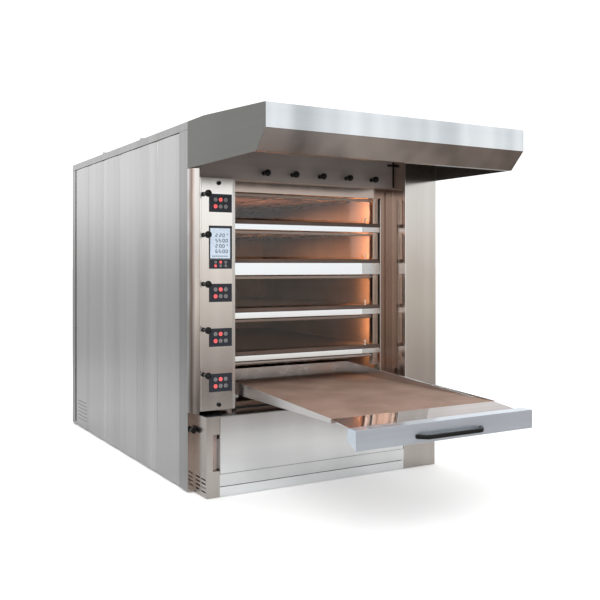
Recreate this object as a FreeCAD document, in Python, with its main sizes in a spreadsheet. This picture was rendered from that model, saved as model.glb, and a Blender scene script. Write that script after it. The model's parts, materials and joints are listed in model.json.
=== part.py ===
import FreeCAD, Part
import os
import re

import Sketcher

# Five-deck bakery oven with a pull-out bottom hearth, drawn with the hearth pulled out.
# Frame: origin on the floor under the middle of the body, +Z up, the front faces -Y, millimetres.
# Inside this file x counts from the body's left side, y from its front plane (negative is in
# front of it) and z from the floor. place() turns them into the part's own frame.

VALUES = {
    # body
    "body_width": 1900,
    "body_depth": 2767,
    "body_top": 2407,
    "skin": 2,
    "trim": 3,
    "clad_bottom": 12,
    "top_rail": 52,
    "corner_strip": 142,
    "rear_strip": 91,
    "cassette_inset": 1.5,
    "cassette_depth": 15,
    "cassette_gap": 3,
    "louvre_start": 2264,
    "louvre_length": 262,
    "louvre_low": 80,
    "louvre_pitch": 32,
    "louvre_slot": 9,
    "jamb_depth": 30,
    # base
    "foot_height": 20,
    "foot_radius": 30,
    "foot_pad": 10,
    "foot_stem": 10,
    "foot_span_x": 850,
    "foot_span_y": 1300,
    "rail_size": 80,
    "tube_wall": 4,
    "base_left": 46,
    "base_right": 1886,
    "base_out": 195,
    "base_bottom": 3,
    "ledge_top": 514,
    "post_left_end": 139,
    "post_right_start": 1600,
    "grip_start": 91,
    "grip_depth": 45,
    "grip_bottom": 168,
    "grip_top": 401,
    "kick_top": 65,
    "lower_rail_bottom": 67,
    "lower_rail_top": 145,
    "vent_low": 34,
    "vent_pitch": 26,
    "vent_height": 9,
    "vent_length": 70,
    "door_thick": 20,
    "door_proud": 2,
    "door_bottom": 148,
    "door_top": 510,
    "door_left": 141,
    "door_right": 1594,
    "door_pin_x": 1588,
    "door_pin_y": 187,
    "door_pin_radius": 3,
    "lock_x": 24,
    "lock_height": 410,
    "lock_radius": 19,
    "lock_reach": 50,
    # front
    "opening_left": 317,
    "opening_right": 1533,
    "pillar_width": 42,
    "control_right": 297,
    "control_out": 95,
    "control_bottom": 538,
    "control_top": 2041,
    "right_column_left": 1612,
    "right_column_right": 1898,
    "damper_bottom": 2043,
    "damper_out": 50,
    "damper_right": 1610,
    "damper_height": 2095,
    "damper_start": 531,
    "damper_pitch": 221,
    "steam_x": 69,
    "rod_radius": 6,
    "ball_radius": 23,
    "ball_reach": 55,
    "bush_radius": 15,
    "bush_length": 8,
    "running": 0.05,
    "keypad_left": 109,
    "keypad_right": 271,
    "keypad_height": 118,
    "keypad_thick": 3,
    "button_radius": 15,
    "button_rise": 1,
    "display_bottom": 1516,
    "display_top": 1732,
    "small_keypad_bottom": 1453,
    "screw_x": 178,
    "screw_radius": 14,
    # decks
    "chamber_left": 325,
    "chamber_right": 1525,
    "chamber_depth": 1850,
    "hearth_thick": 26,
    "strip_proud": 4,
    "light_left": 1474,
    "light_right": 1521,
    "light_front": 14,
    "light_back": 60,
    "lens_thick": 8,
    "pane_thick": 5,
    "pane_gap": 12,
    "hinge_y": 26,
    "hinge_drop": 16,
    "hinge_rail": 20,
    "hinge_pin_radius": 4,
    "open_angle": 78,
    # hood
    "hood_reach": 1075,
    "hood_bend": 259,
    "hood_front_top": 2356,
    "hood_front_bottom": 2217,
    "hood_lip_reach": 967,
    "hood_bottom": 2102,
    "hood_lip": 40,
    "hood_pipe_radius": 100,
    "flue_pipe_radius": 90,
    "pipe_wall": 2,
    "pipe_height": 60,
    # pull-out hearth
    "tray_left": 329,
    "tray_right": 1521,
    "tray_sheet": 3,
    "tray_bottom": 620,
    "tray_floor": 4,
    "tray_front": -1210,
    "tray_back": 430,
    "tray_rear_top": 724,
    "tray_front_top": 645,
    "panel_left": 301,
    "panel_right": 1549,
    "panel_front": -1492,
    "panel_bottom": 522,
    "panel_top": 630,
    "panel_flange": 79,
    "ramp_end": 620,
    "ramp_right": 1512,
    "arm_inset": 71,
    "handle_feet": 450,
    "handle_bar": 382,
    "handle_out": 45,
    "handle_size": 28,
    "handle_height": 560,
    "roller_radius": 22,
    "roller_width": 40,
    "stub_radius": 8,
    "bracket_reach": 30,
    "roller_gap": 0.3,
    "front_roller_y": 30,
    "rear_roller_y": 400,
    # heating
    "furnace_radius": 190,
    "furnace_height": 295,
    "furnace_start": 450,
    "furnace_end": 2300,
    "furnace_wall": 6,
    "middle": 950,
    "riser_y": 2057,
    "riser_top": 2150,
    "fan_height": 1880,
    "fan_radius": 180,
    "fan_shaft_radius": 12,
    # fits, insets and small features
    "floor_plate_low": 8,
    "floor_plate_high": 2,
    "rear_gap": 10,
    "head_gap": 4,
    "pin_reach": 8,
    "pillar_gap": 6,
    "trim_rod_inset": 6,
    "trim_rod_out": 8,
    "trim_rod_radius": 4,
    "display_gap": 1,
    "thumb_height": 12,
    "thumb_low": 34,
    "thumb_high": 32,
    "collar_start": 28,
    "collar_end": 38,
    "steam_rod_end": 32,
    "steam_reach": 78,
    "stop_inset": 125,
    "stop_radius": 7,
    "stop_height": 38,
    "duct_rise": 40,
    "radiator_inset": 5,
    "low_radiator_inset": 60,
    "low_radiator_start": 50,
    "low_radiator_top": 34,
    "low_light_gap": 21,
    "slot_start": 20,
    "slot_end": 26,
    "slot_depth": 10,
    "slot_low": 8,
    "slot_high": 34,
    "lens_inset": 6,
    "lens_end": 12,
    "steamer_inset": 75,
    "steamer_end": 100,
    "steamer_low": 20,
    "steamer_high": 120,
    "pane_inset": 4,
    "door_rail_depth": 16,
    "pin_end": 6,
    "door_left_gap": 9,
    "low_door_left_gap": 23,
    "vent_start": 12,
    "vent_gap": 18,
    "lug_reach": 10,
    "lug_front": 5.5,
    "lug_back": 9,
    "lug_top": 2,
    "lug_drop": 9,
    "lug_pin_drop": 7,
    "lock_shank": 12,
    "lock_wing_half": 5,
    "lock_wing_out": 6,
    "lock_wing_rise": 15,
    "roller_bracket_low": 51,
    "roller_bracket_high": 59,
    "roller_bracket_size": 40,
    "arm_width": 30,
    "arm_end": 60,
    "arm_low": 20,
    "arm_high": 3,
    "pad_start": 5,
    "pad_end": 55,
    "flange_notch_start": 7,
    "flange_notch_y": 35,
    "flange_notch_z": 23,
    "flange_back_z": 41,
    "handle_foot_half": 14,
    "handle_elbow": 8,
    "wheel_gap": 2,
    "stub_out": 10,
    "stub_in": 15,
    "slab_gap": 2,
    "window_proud": 1,
    "guide_width": 50,
    "guide_side_gap": 1,
    "guide_thick": 24,
    "guide_end": 5,
    "skid_inset": 6,
    "skid_end": 42,
    "skid_start": 240,
    "skid_back": 300,
    "roller_plate_front": 5,
    "roller_plate_low": 60,
    "roller_plate_high": 70,
    "collar_sunk": 20,
    "collar_top": 6,
    "cradle_width": 300,
    "cradle_thick": 40,
    "cradle_top": 200,
    "cradle_front": 100,
    "cradle_rear": 500,
    "burner_flange": 12,
    "burner_flange_radius": 120,
    "blast_start": 240,
    "blast_radius": 60,
    "burner_width": 220,
    "burner_front": 60,
    "burner_back": 250,
    "burner_height": 200,
    "blower_start": 110,
    "blower_end": 200,
    "blower_y": 80,
    "blower_radius": 110,
    "riser_width": 500,
    "riser_half": 92,
    "riser_back": 93,
    "fan_box_size": 460,
    "motor_length": 320,
    "motor_radius": 120,
    "motor_flange_size": 300,
    "motor_flange_thick": 10,
    "motor_bore_depth": 147,
    "wheel_front": 120,
    "wheel_back": 230,
    "wheel_plate": 4,
    "fan_hub_radius": 36,
    "shaft_end": 400,
    "blade_gap": 10,
    "motor_face": 2320,
    "slab_low": 8,
    "slab_high": 10,
    "lining_start": 40,
    "lining_end": 105,
    "rear_slab_start": 110,
    "rear_slab_gap": 27,
    "top_slab_rise": 44,
    "riser_clear": 255,
}

# hearth surface and ceiling of each baking chamber, from the top deck down
DECKS = {1: (1783, 1968), 2: (1520, 1716), 3: (1185, 1408), 4: (893, 1116), 5: (642, 830)}
for number, (floor, ceiling) in DECKS.items():
    VALUES[f"deck_{number}_floor"] = floor
    VALUES[f"deck_{number}_ceiling"] = ceiling

FIXED_DECKS = (1, 2, 3, 4)

# height of each steam pull knob and each keypad on the control panel
STEAM_HEIGHTS = {1: 1932, 2: 1670, 3: 1355, 4: 1062, 5: 774}
KEYPAD_HEIGHTS = {1: 1879, 3: 1297, 4: 1008, 5: 715}
for number, height in STEAM_HEIGHTS.items():
    VALUES[f"steam_{number}_height"] = height
for number, height in KEYPAD_HEIGHTS.items():
    VALUES[f"keypad_{number}_height"] = height

doc = FreeCAD.newDocument("deck_oven")
sheet = doc.addObject("Spreadsheet::Sheet", "Sizes")
for row, (alias, value) in enumerate(VALUES.items(), start=1):
    sheet.set(f"A{row}", alias)
    sheet.set(f"B{row}", str(value))
    sheet.setAlias(f"B{row}", alias)
doc.recompute()

# a large key's pitch and rise as shares of its pad, and a small key's size
KEY_PITCH = 0.28
KEY_RISE = 0.22
SMALL_KEY = 0.6

LEFT_SIDE = "-body_width / 2"
FRONT_PLANE = "-body_depth / 2"
TURNS = {
    "x": FreeCAD.Rotation(FreeCAD.Vector(0, 1, 0), 90),
    "y": FreeCAD.Rotation(FreeCAD.Vector(1, 0, 0), -90),
    "z": FreeCAD.Rotation(),
}
pieces = {}


def bound(text):
    """The expression with every size name pointing at its cell."""
    return re.sub(r"[a-z]\w*", lambda m: f"Sizes.{m[0]}" if m[0] in VALUES else m[0], str(text))


def place(axis, text):
    """A distance from the left side, front plane or floor, in the part's own frame."""
    start = {"x": LEFT_SIDE, "y": FRONT_PLANE, "z": "0"}[axis]
    return bound(f"{start} + ({text})")


def block(name, x, y, z):
    """A box between two distances on each axis."""
    box = doc.addObject("Part::Box", name)
    for axis, side, (low, high) in zip("xyz", ("Length", "Width", "Height"), (x, y, z)):
        box.setExpression(side, bound(f"({high}) - ({low})"))
        box.setExpression(f"Placement.Base.{axis}", place(axis, low))
    return box


def rod(name, axis, x, y, z, radius):
    """A cylinder along one axis, whose distances on that axis are a pair."""
    cylinder = doc.addObject("Part::Cylinder", name)
    cylinder.Placement = FreeCAD.Placement(FreeCAD.Vector(), TURNS[axis])
    centre = {"x": x, "y": y, "z": z}
    low, high = centre[axis]
    centre[axis] = low
    cylinder.setExpression("Radius", bound(radius))
    cylinder.setExpression("Height", bound(f"({high}) - ({low})"))
    for key, text in centre.items():
        cylinder.setExpression(f"Placement.Base.{key}", place(key, text))
    return cylinder


def ball(name, x, y, z, radius):
    sphere = doc.addObject("Part::Sphere", name)
    sphere.setExpression("Radius", bound(radius))
    for key, text in zip("xyz", (x, y, z)):
        sphere.setExpression(f"Placement.Base.{key}", place(key, text))
    return sphere


def fuse(name, *solids):
    joined = doc.addObject("Part::MultiFuse", name)
    joined.Shapes = list(solids)
    return joined


def together(name, *solids):
    """Several separate solids that are one sub-part."""
    bundle = doc.addObject("Part::Compound", name)
    bundle.Links = list(solids)
    return bundle


def cut(name, base, *tools):
    result = doc.addObject("Part::Cut", name)
    result.Base = base
    result.Tool = tools[0] if len(tools) == 1 else together(f"{name}_tools", *tools)
    return result


def shell(name, x, y, z, wall="skin", open_ends=""):
    """A box of sheet metal, open at the named ends such as y+."""
    inner = []
    for axis, (low, high) in zip("xyz", (x, y, z)):
        start = low if f"{axis}-" in open_ends else f"({low}) + ({wall})"
        end = high if f"{axis}+" in open_ends else f"({high}) - ({wall})"
        inner.append((start, end))
    return cut(name, block(f"{name}_outer", x, y, z), block(f"{name}_inner", *inner))


def extrusion(name, plane, points, span):
    """A body padded from a polygon: YZ points padded along x, or XY points along z."""
    body = doc.addObject("PartDesign::Body", name)
    sketch = body.newObject("Sketcher::SketchObject", f"{name}_outline")
    origin = next(o for o in body.Origin.OriginFeatures if o.Role == f"{plane}_Plane")
    sketch.AttachmentSupport = (origin, [""])
    sketch.MapMode = "FlatFace"
    across, up, along = {"YZ": "yzx", "XY": "xyz"}[plane]
    sketch.setExpression("AttachmentOffset.Base.z", place(along, span[0]))
    exact = [(place(across, a), place(up, b)) for a, b in points]
    corners = [FreeCAD.Vector(worked(a), worked(b), 0) for a, b in exact]
    count = len(corners)
    for i in range(count):
        sketch.addGeometry(Part.LineSegment(corners[i], corners[(i + 1) % count]), False)
    for i in range(count):
        sketch.addConstraint(Sketcher.Constraint("Coincident", i, 2, (i + 1) % count, 1))
    for i, corner in enumerate(corners):
        for kind, value, text in zip(("DistanceX", "DistanceY"), corner, exact[i]):
            number = sketch.addConstraint(Sketcher.Constraint(kind, -1, 1, i, 1, value))
            sketch.setExpression(f"Constraints[{number}]", text)
    pad = body.newObject("PartDesign::Pad", f"{name}_pad")
    pad.Profile = sketch
    pad.setExpression("Length", bound(f"({span[1]}) - ({span[0]})"))
    return body


def worked(text):
    """The number that an expression gives now."""
    return float(sheet.evalExpression(text))


def piece(name, solid):
    """Name a finished sub-part."""
    solid.Label = name
    pieces[name] = solid


# ---------------------------------------------------------------- base frame and feet

RAIL_HEIGHT = ("foot_height", "foot_height + rail_size")
RAIL_LINES = ("middle - foot_span_x", "middle", "middle + foot_span_x")
CROSS_LINES = ("body_depth / 2 - foot_span_y", "body_depth / 2", "body_depth / 2 + foot_span_y")


def around(line, size="rail_size"):
    return f"{line} - {size} / 2", f"{line} + {size} / 2"


frame_bars = []
for i, line in enumerate(RAIL_LINES):
    reach = (around(CROSS_LINES[0])[0], around(CROSS_LINES[2])[1])
    frame_bars.append(shell(f"long_rail_{i}", around(line), reach, RAIL_HEIGHT, "tube_wall", "y- y+"))
for i, line in enumerate(CROSS_LINES):
    for j in range(2):
        gap = (around(RAIL_LINES[j])[1], around(RAIL_LINES[j + 1])[0])
        frame_bars.append(shell(f"cross_rail_{i}_{j}", gap, around(line), RAIL_HEIGHT, "tube_wall",
                                "x- x+"))
    for j in (0, 2):
        upright = ("foot_height + rail_size", "ledge_top - floor_plate_low")
        frame_bars.append(shell(f"upright_{i}_{j}", around(RAIL_LINES[j]), around(line), upright,
                                "tube_wall", "z- z+"))
frame_bars.append(block("deck_floor", ("base_left", "body_width - base_left"),
                        ("jamb_depth + skin", "chamber_depth + rear_gap"),
                        ("ledge_top - floor_plate_low", "ledge_top - floor_plate_high")))
piece("base_frame", together("base_frame", *frame_bars))

feet = []
for i, x_line in enumerate(RAIL_LINES):
    for j, y_line in enumerate(CROSS_LINES):
        pad = rod(f"foot_pad_{i}_{j}", "z", x_line, y_line, ("0", "foot_pad"), "foot_radius")
        stem = rod(f"foot_stem_{i}_{j}", "z", x_line, y_line, ("foot_pad", "foot_height"), "foot_stem")
        feet.append(fuse(f"foot_{i}_{j}", pad, stem))
piece("levelling_feet", together("levelling_feet", *feet))

# ---------------------------------------------------------------- cladding

CLAD_TOP = "body_top - skin"
SIDES = {"left": ("0", 1), "right": ("body_width", -1)}


def from_side(side, near, far):
    """Two distances inwards from a side of the body, low one first."""
    start, sign = SIDES[side]
    pair = (f"{start} + {near}", f"{start} + {far}")
    return pair if sign > 0 else (f"{start} - ({far})", f"{start} - ({near})")


strips = []
for side in SIDES:
    thickness = from_side(side, "0", "trim")
    rail_bottom = "body_top - top_rail"
    strips.append(block(f"{side}_front_strip", thickness, ("0", "corner_strip"),
                        ("clad_bottom", rail_bottom)))
    strips.append(block(f"{side}_rear_strip", thickness, ("body_depth - rear_strip", "body_depth"),
                        ("clad_bottom", rail_bottom)))
    strips.append(block(f"{side}_top_rail", thickness, ("0", "body_depth"), (rail_bottom, CLAD_TOP)))
piece("corner_trim", together("corner_trim", *strips))

CASSETTES = 6
LOUVRES = 6
PITCH = f"(body_depth - corner_strip - rear_strip) / {CASSETTES}"
cassettes = []
for side in SIDES:
    for i in range(CASSETTES):
        name = f"{side}_cassette_{i}"
        x = from_side(side, "cassette_inset", "cassette_inset + cassette_depth")
        y = (f"corner_strip + {i} * {PITCH} + cassette_gap / 2",
             f"corner_strip + {i + 1} * {PITCH} - cassette_gap / 2")
        z = ("clad_bottom + skin", "body_top - top_rail - skin")
        pan = shell(name, x, y, z, open_ends="x+" if side == "left" else "x-")
        if i == CASSETTES - 1:
            slots = []
            for k in range(LOUVRES):
                low = f"louvre_low + {k} * louvre_pitch"
                slots.append(block(f"{side}_louvre_{k}", from_side(side, "0", "trim + skin"),
                                   ("louvre_start", "louvre_start + louvre_length"),
                                   (low, f"{low} + louvre_slot")))
            pan = cut(f"{name}_louvred", pan, *slots)
        cassettes.append(pan)
piece("side_cassettes", together("side_cassettes", *cassettes))

THIRDS = 3
roof = []
rear = []
for i in range(THIRDS):
    y = (f"body_depth * {i} / {THIRDS}", f"body_depth * {i + 1} / {THIRDS}")
    roof.append(block(f"roof_{i}", ("0", "body_width"), y, (CLAD_TOP, "body_top")))
    x = (f"trim + (body_width - 2 * trim) * {i} / {THIRDS}",
         f"trim + (body_width - 2 * trim) * {i + 1} / {THIRDS}")
    rear.append(block(f"rear_{i}", x, ("body_depth - skin", "body_depth"), ("clad_bottom", CLAD_TOP)))
flue_hole = rod("flue_hole", "z", "middle", "riser_y", (CLAD_TOP, "body_top"),
                "flue_pipe_radius - pipe_wall")
roof[-1] = cut("roof_with_flue", roof[-1], flue_hole)
piece("roof_panels", together("roof_panels", *roof))
piece("rear_panels", together("rear_panels", *rear))

# ---------------------------------------------------------------- front frame and columns

DAMPER_LINES = [f"damper_start + {i} * damper_pitch" for i in range(len(DECKS))]
JAMB = ("0", "jamb_depth")


def hinge_height(number):
    return f"deck_{number}_ceiling - hinge_drop"


def hinge_bore(name, number, span):
    return rod(name, "x", span, "hinge_y", hinge_height(number), "hinge_pin_radius + running")


left_jamb = block("left_jamb_plain", ("trim", "opening_left"), JAMB, ("ledge_top", CLAD_TOP))
left_bores = [hinge_bore(f"left_bore_{n}", n, ("opening_left - pin_reach", "opening_left")) for n in DECKS]
lintel = block("lintel_plain", ("opening_left", "opening_right"), JAMB, ("deck_1_ceiling", CLAD_TOP))
rod_holes = [rod(f"lintel_hole_{i}", "y", line, JAMB, "damper_height", "rod_radius + running")
             for i, line in enumerate(DAMPER_LINES)]
lower_left = block("lower_left_plain", ("trim", "base_left"), JAMB, ("clad_bottom", "ledge_top"))
lock_bore = rod("lock_bore", "y", "lock_x", JAMB, "lock_height", "rod_radius + running")
piece("front_frame", together(
    "front_frame",
    cut("left_jamb", left_jamb, *left_bores),
    block("right_jamb", ("opening_right", "body_width - trim"), JAMB, ("ledge_top", CLAD_TOP)),
    cut("lintel", lintel, *rod_holes),
    cut("lower_left_strip", lower_left, lock_bore),
    block("lower_right_strip", ("base_right", "body_width - trim"), JAMB, ("clad_bottom", "ledge_top")),
))

pillar_radius = "(pillar_width * pillar_width + control_out * control_out) / (2 * pillar_width)"
pillar_height = ("ledge_top + pillar_gap", "hood_bottom - skin")
pillar = doc.addObject("Part::Common", "pillar")
pillar.Base = block("pillar_block", ("0", "pillar_width"), ("-control_out", "0"), pillar_height)
pillar.Tool = rod("pillar_round", "z", pillar_radius, "0", pillar_height, pillar_radius)
piece("corner_pillar", pillar)

piece("control_column", shell("control_column", ("pillar_width", "control_right"),
                              ("skin - control_out", "0"), ("control_bottom", "control_top"),
                              open_ends="y- y+"))
panel_sheet = block("panel_sheet", ("pillar_width", "control_right"), ("-control_out", "skin - control_out"),
                    ("control_bottom", "control_top"))
panel_holes = [rod(f"panel_hole_{n}", "y", "steam_x", ("-control_out", "skin - control_out"),
                   f"steam_{n}_height", "rod_radius + running") for n in STEAM_HEIGHTS]
piece("control_panel", cut("control_panel", panel_sheet, *panel_holes))

damper_front = "-damper_out - skin"
damper_span = ("pillar_width", "damper_right")
damper_tall = ("damper_bottom", "body_top - head_gap")
damper_sheet = fuse(
    "damper_sheet",
    block("damper_face", damper_span, (damper_front, "-damper_out"), damper_tall),
    block("damper_lip", damper_span, ("-damper_out", "0"), ("damper_bottom", "damper_bottom + skin")),
    block("damper_end", ("damper_right - skin", "damper_right"), ("-damper_out", "0"), damper_tall),
)
damper_holes = [rod(f"damper_hole_{i}", "y", line, (damper_front, "-damper_out"), "damper_height",
                    "rod_radius + running") for i, line in enumerate(DAMPER_LINES)]
piece("damper_panel", cut("damper_panel", damper_sheet, *damper_holes))

piece("right_column", shell("right_column", ("right_column_left", "right_column_right"),
                            ("-base_out", "0"), ("ledge_top", "body_top - head_gap"), open_ends="y+"))
piece("jamb_trim_rod", rod("jamb_trim_rod", "z", "opening_right - trim_rod_inset", "-trim_rod_out",
                           ("tray_front_top", "deck_1_ceiling - trim_rod_inset"), "trim_rod_radius"))

# ---------------------------------------------------------------- controls

keypad_x = ("keypad_left", "keypad_right")
keypad_y = ("-control_out - keypad_thick", "-control_out")
button_y = ("-control_out - keypad_thick - button_rise", "-control_out - keypad_thick")


def keypad(name, low, high, radius):
    """A flat keypad with two rows of three round membrane buttons."""
    solids = [block(f"{name}_plate", keypad_x, keypad_y, (low, high))]
    centre_x = "(keypad_left + keypad_right) / 2"
    for row in (-1, 1):
        for column in (-1, 0, 1):
            x = f"{centre_x} + {column} * (keypad_right - keypad_left) * {KEY_PITCH}"
            z = f"(({low}) + ({high})) / 2 + {row} * (({high}) - ({low})) * {KEY_RISE}"
            solids.append(rod(f"{name}_button_{row + 1}_{column + 1}", "y", x, button_y, z, radius))
    return fuse(name, *solids)


keypads = [keypad(f"deck_keypad_{n}", f"keypad_{n}_height - keypad_height / 2",
                  f"keypad_{n}_height + keypad_height / 2", "button_radius") for n in KEYPAD_HEIGHTS]
keypads.append(keypad("small_keypad", "small_keypad_bottom", "display_bottom - display_gap",
                      f"button_radius * {SMALL_KEY}"))
piece("keypads", together("keypads", *keypads))
piece("display_window", block("display_window", keypad_x,
                              ("-control_out - keypad_thick - window_proud", "-control_out"),
                              ("display_bottom", "display_top")))
screw_y = ("-control_out - thumb_height", "-control_out")
piece("thumb_screws", together("thumb_screws", *[
    rod(f"thumb_screw_{i}", "y", "screw_x", screw_y, z, "screw_radius")
    for i, z in enumerate(("control_bottom + thumb_low", "control_top - thumb_high"))]))


def bush(name, x, z, face):
    """A plain bush that guides a pull rod on a panel face."""
    span = (f"{face} - bush_length", face)
    outer = rod(f"{name}_outer", "y", x, span, z, "bush_radius")
    return cut(name, outer, rod(f"{name}_bore", "y", x, span, z, "rod_radius + running"))


def pull_knob(name, x, z, centre, back_end):
    """Rod, collar and ball of a pull knob whose ball stands out of a panel."""
    return fuse(
        name,
        rod(f"{name}_rod", "y", x, (centre, back_end), z, "rod_radius"),
        rod(f"{name}_collar", "y", x, (f"{centre} + collar_start", f"{centre} + collar_end"), z,
            "rod_radius * 2"),
        ball(f"{name}_ball", x, centre, z, "ball_radius"),
    )


bushes = []
for number, height in enumerate(STEAM_HEIGHTS, start=1):
    z = f"steam_{number}_height"
    bushes.append(bush(f"steam_bush_{number}", "steam_x", z, "-control_out"))
    piece(f"steam_knob_{number}", pull_knob(f"steam_knob_{number}", "steam_x", z,
                                            "-control_out - steam_reach", "-steam_rod_end"))
for number, line in enumerate(DAMPER_LINES, start=1):
    bushes.append(bush(f"damper_bush_{number}", line, "damper_height", damper_front))
    piece(f"damper_knob_{number}", pull_knob(f"damper_knob_{number}", line, "damper_height",
                                             f"{damper_front} - ball_reach", "jamb_depth * 2"))
piece("knob_bushes", together("knob_bushes", *bushes))

# ---------------------------------------------------------------- baking decks

strips = []
hearths = []
stops = []
for n in FIXED_DECKS:
    span = ("opening_left", "opening_right")
    top = f"deck_{n}_floor - hearth_thick"
    strips.append(block(f"strip_{n}", span, ("-strip_proud", "jamb_depth"), (f"deck_{n + 1}_ceiling", top)))
    hearths.append(block(f"hearth_{n}", ("chamber_left", "chamber_right"), ("-skin", "chamber_depth - skin"),
                         (top, f"deck_{n}_floor")))
    stops.append(rod(f"door_stop_{n}", "z", "chamber_right - stop_inset", "stop_radius",
                     (f"deck_{n}_floor", f"deck_{n}_floor + stop_height"), "stop_radius"))
piece("deck_strips", together("deck_strips", *strips))
piece("fixed_hearths", together("fixed_hearths", *hearths))
piece("door_stops", together("door_stops", *stops))

liner = []
radiators = []
lights = []
lenses = []
steamers = []
walls = ("chamber_left - skin", "chamber_right + skin")
depth = ("jamb_depth", "chamber_depth")
for n in DECKS:
    low = f"deck_{n}_floor - hearth_thick" if n in FIXED_DECKS else "ledge_top"
    high = f"deck_{n}_ceiling"
    wall_depth = depth if n in FIXED_DECKS else ("jamb_depth + bracket_reach", "chamber_depth")
    liner.append(block(f"liner_left_{n}", (walls[0], "chamber_left"), wall_depth, (low, high)))
    liner.append(block(f"liner_right_{n}", ("chamber_right", walls[1]), wall_depth, (low, high)))
    liner.append(block(f"liner_back_{n}", walls, ("chamber_depth", "chamber_depth + skin"), (low, high)))
    liner.append(block(f"liner_top_{n}", walls, ("jamb_depth", "chamber_depth + skin"),
                       (high, f"{high} + skin")))
    duct_top = f"deck_{n - 1}_floor - hearth_thick - 1" if n > 1 else f"{high} + duct_rise"
    radiators.append(shell(f"radiator_{n}",
                           ("chamber_left + radiator_inset", "chamber_right - radiator_inset"),
                           ("jamb_depth + bracket_reach", "chamber_depth - rear_gap"),
                           (f"{high} + skin + 1", duct_top)))
    light_low = f"deck_{n}_floor" if n in FIXED_DECKS else "tray_rear_top + low_light_gap"
    light = block(f"light_bar_{n}_plain", ("light_left", "light_right"), ("light_front", "light_back"),
                  (light_low, high))
    slot = block(f"light_slot_{n}", ("light_left + slot_start", "light_left + slot_end"),
                 ("light_front", "light_front + slot_depth"),
                 (f"{light_low} + slot_low", f"{high} - slot_high"))
    bore = hinge_bore(f"right_bore_{n}", n, ("light_left", "light_left + pin_reach"))
    lights.append(cut(f"light_bar_{n}", light, slot, bore))
    lenses.append(block(f"lens_{n}", ("light_left + lens_inset", "light_right - lens_inset"),
                        ("light_back", "light_back + lens_thick"),
                        (f"{light_low} + lens_end", f"{high} - lens_end")))
    steamers.append(block(f"steam_generator_{n}",
                          ("chamber_left + steamer_inset", "chamber_right - steamer_inset"),
                          ("chamber_depth + rear_gap", "chamber_depth + steamer_end"),
                          (f"deck_{n}_floor + steamer_low", f"deck_{n}_floor + steamer_high")))
radiators.append(shell("radiator_6", ("chamber_left + low_radiator_inset",
                                         "chamber_right - low_radiator_inset"),
                       ("jamb_depth + low_radiator_start", "chamber_depth - rear_gap"),
                       ("ledge_top + skin", "ledge_top + low_radiator_top")))
piece("chamber_liners", together("chamber_liners", *liner))
piece("radiator_panels", together("radiator_panels", *radiators))
piece("light_bars", together("light_bars", *lights))
piece("deck_lamps", together("deck_lamps", *lenses))
piece("steam_generators", together("steam_generators", *steamers))


def glass_door(number, left):
    """A glass pane under a hinge rail, hanging closed from two end pins."""
    name = f"glass_door_{number}"
    rail_top = f"{hinge_height(number)} + hinge_rail / 2"
    rail_bottom = f"{hinge_height(number)} - hinge_rail / 2"
    z = hinge_height(number)
    right = "light_left - pin_reach"
    return fuse(
        name,
        block(f"{name}_pane", (f"{left} + pane_inset", f"{right} - pane_inset"),
              around("hinge_y", "pane_thick"),
              (f"deck_{number}_floor + pane_gap", rail_bottom)),
        block(f"{name}_rail", (left, right), around("hinge_y", "door_rail_depth"), (rail_bottom, rail_top)),
        rod(f"{name}_left_pin", "x", ("opening_left - pin_end", left), "hinge_y", z, "hinge_pin_radius"),
        rod(f"{name}_right_pin", "x", (right, "light_left + pin_end"), "hinge_y", z, "hinge_pin_radius"),
    )


for n in FIXED_DECKS:
    piece(f"door_{n}", glass_door(n, "opening_left + door_left_gap"))
closed_door_5 = glass_door(5, "opening_left + low_door_left_gap")

# ---------------------------------------------------------------- hood

ROOF_LINE = [("0", "body_top"), ("-hood_bend", "body_top"), ("-hood_reach", "hood_front_top")]
side_outline = ROOF_LINE + [("-hood_reach", "hood_front_bottom"), ("-hood_lip_reach", "hood_bottom"),
                            ("0", "hood_bottom")]
top_outline = ROOF_LINE + [(y, f"{z} - skin") for y, z in reversed(ROOF_LINE)]
chamfer_outline = [
    ("-hood_reach", "hood_front_bottom"), ("-hood_lip_reach", "hood_bottom"),
    ("-hood_lip_reach + trim", "hood_bottom"), ("-hood_reach + trim", "hood_front_bottom"),
]
between = ("skin", "body_width - skin")
outlet_y = "-hood_bend / 2"
hood_top = extrusion("hood_top_sheet", "YZ", top_outline, between)
hood_hole = rod("hood_hole", "z", "middle", outlet_y, ("body_top - 2 * skin", "body_top + skin"),
                "hood_pipe_radius - pipe_wall")
piece("hood_panels", together(
    "hood_panels",
    extrusion("hood_left_side", "YZ", side_outline, ("0", "skin")),
    extrusion("hood_right_side", "YZ", side_outline, ("body_width - skin", "body_width")),
    cut("hood_top", hood_top, hood_hole),
    block("hood_front", between, ("-hood_reach", "-hood_reach + skin"),
          ("hood_front_bottom", "hood_front_top - skin")),
    extrusion("hood_chamfer", "YZ", chamfer_outline, between),
    block("hood_return", between, ("-hood_lip_reach + trim", "-hood_lip_reach + hood_lip"),
          ("hood_bottom", "hood_bottom + skin")),
))


def pipe(name, y, z, radius):
    outer = rod(f"{name}_outer", "z", "middle", y, z, radius)
    return cut(name, outer, rod(f"{name}_inner", "z", "middle", y, z, f"{radius} - pipe_wall"))


collar_height = ("body_top", "body_top + pipe_height")
piece("duct_collars", together(
    "duct_collars",
    pipe("hood_collar", outlet_y, collar_height, "hood_pipe_radius"),
    pipe("flue_collar", "riser_y", collar_height, "flue_pipe_radius"),
))

# ---------------------------------------------------------------- base front

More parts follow.
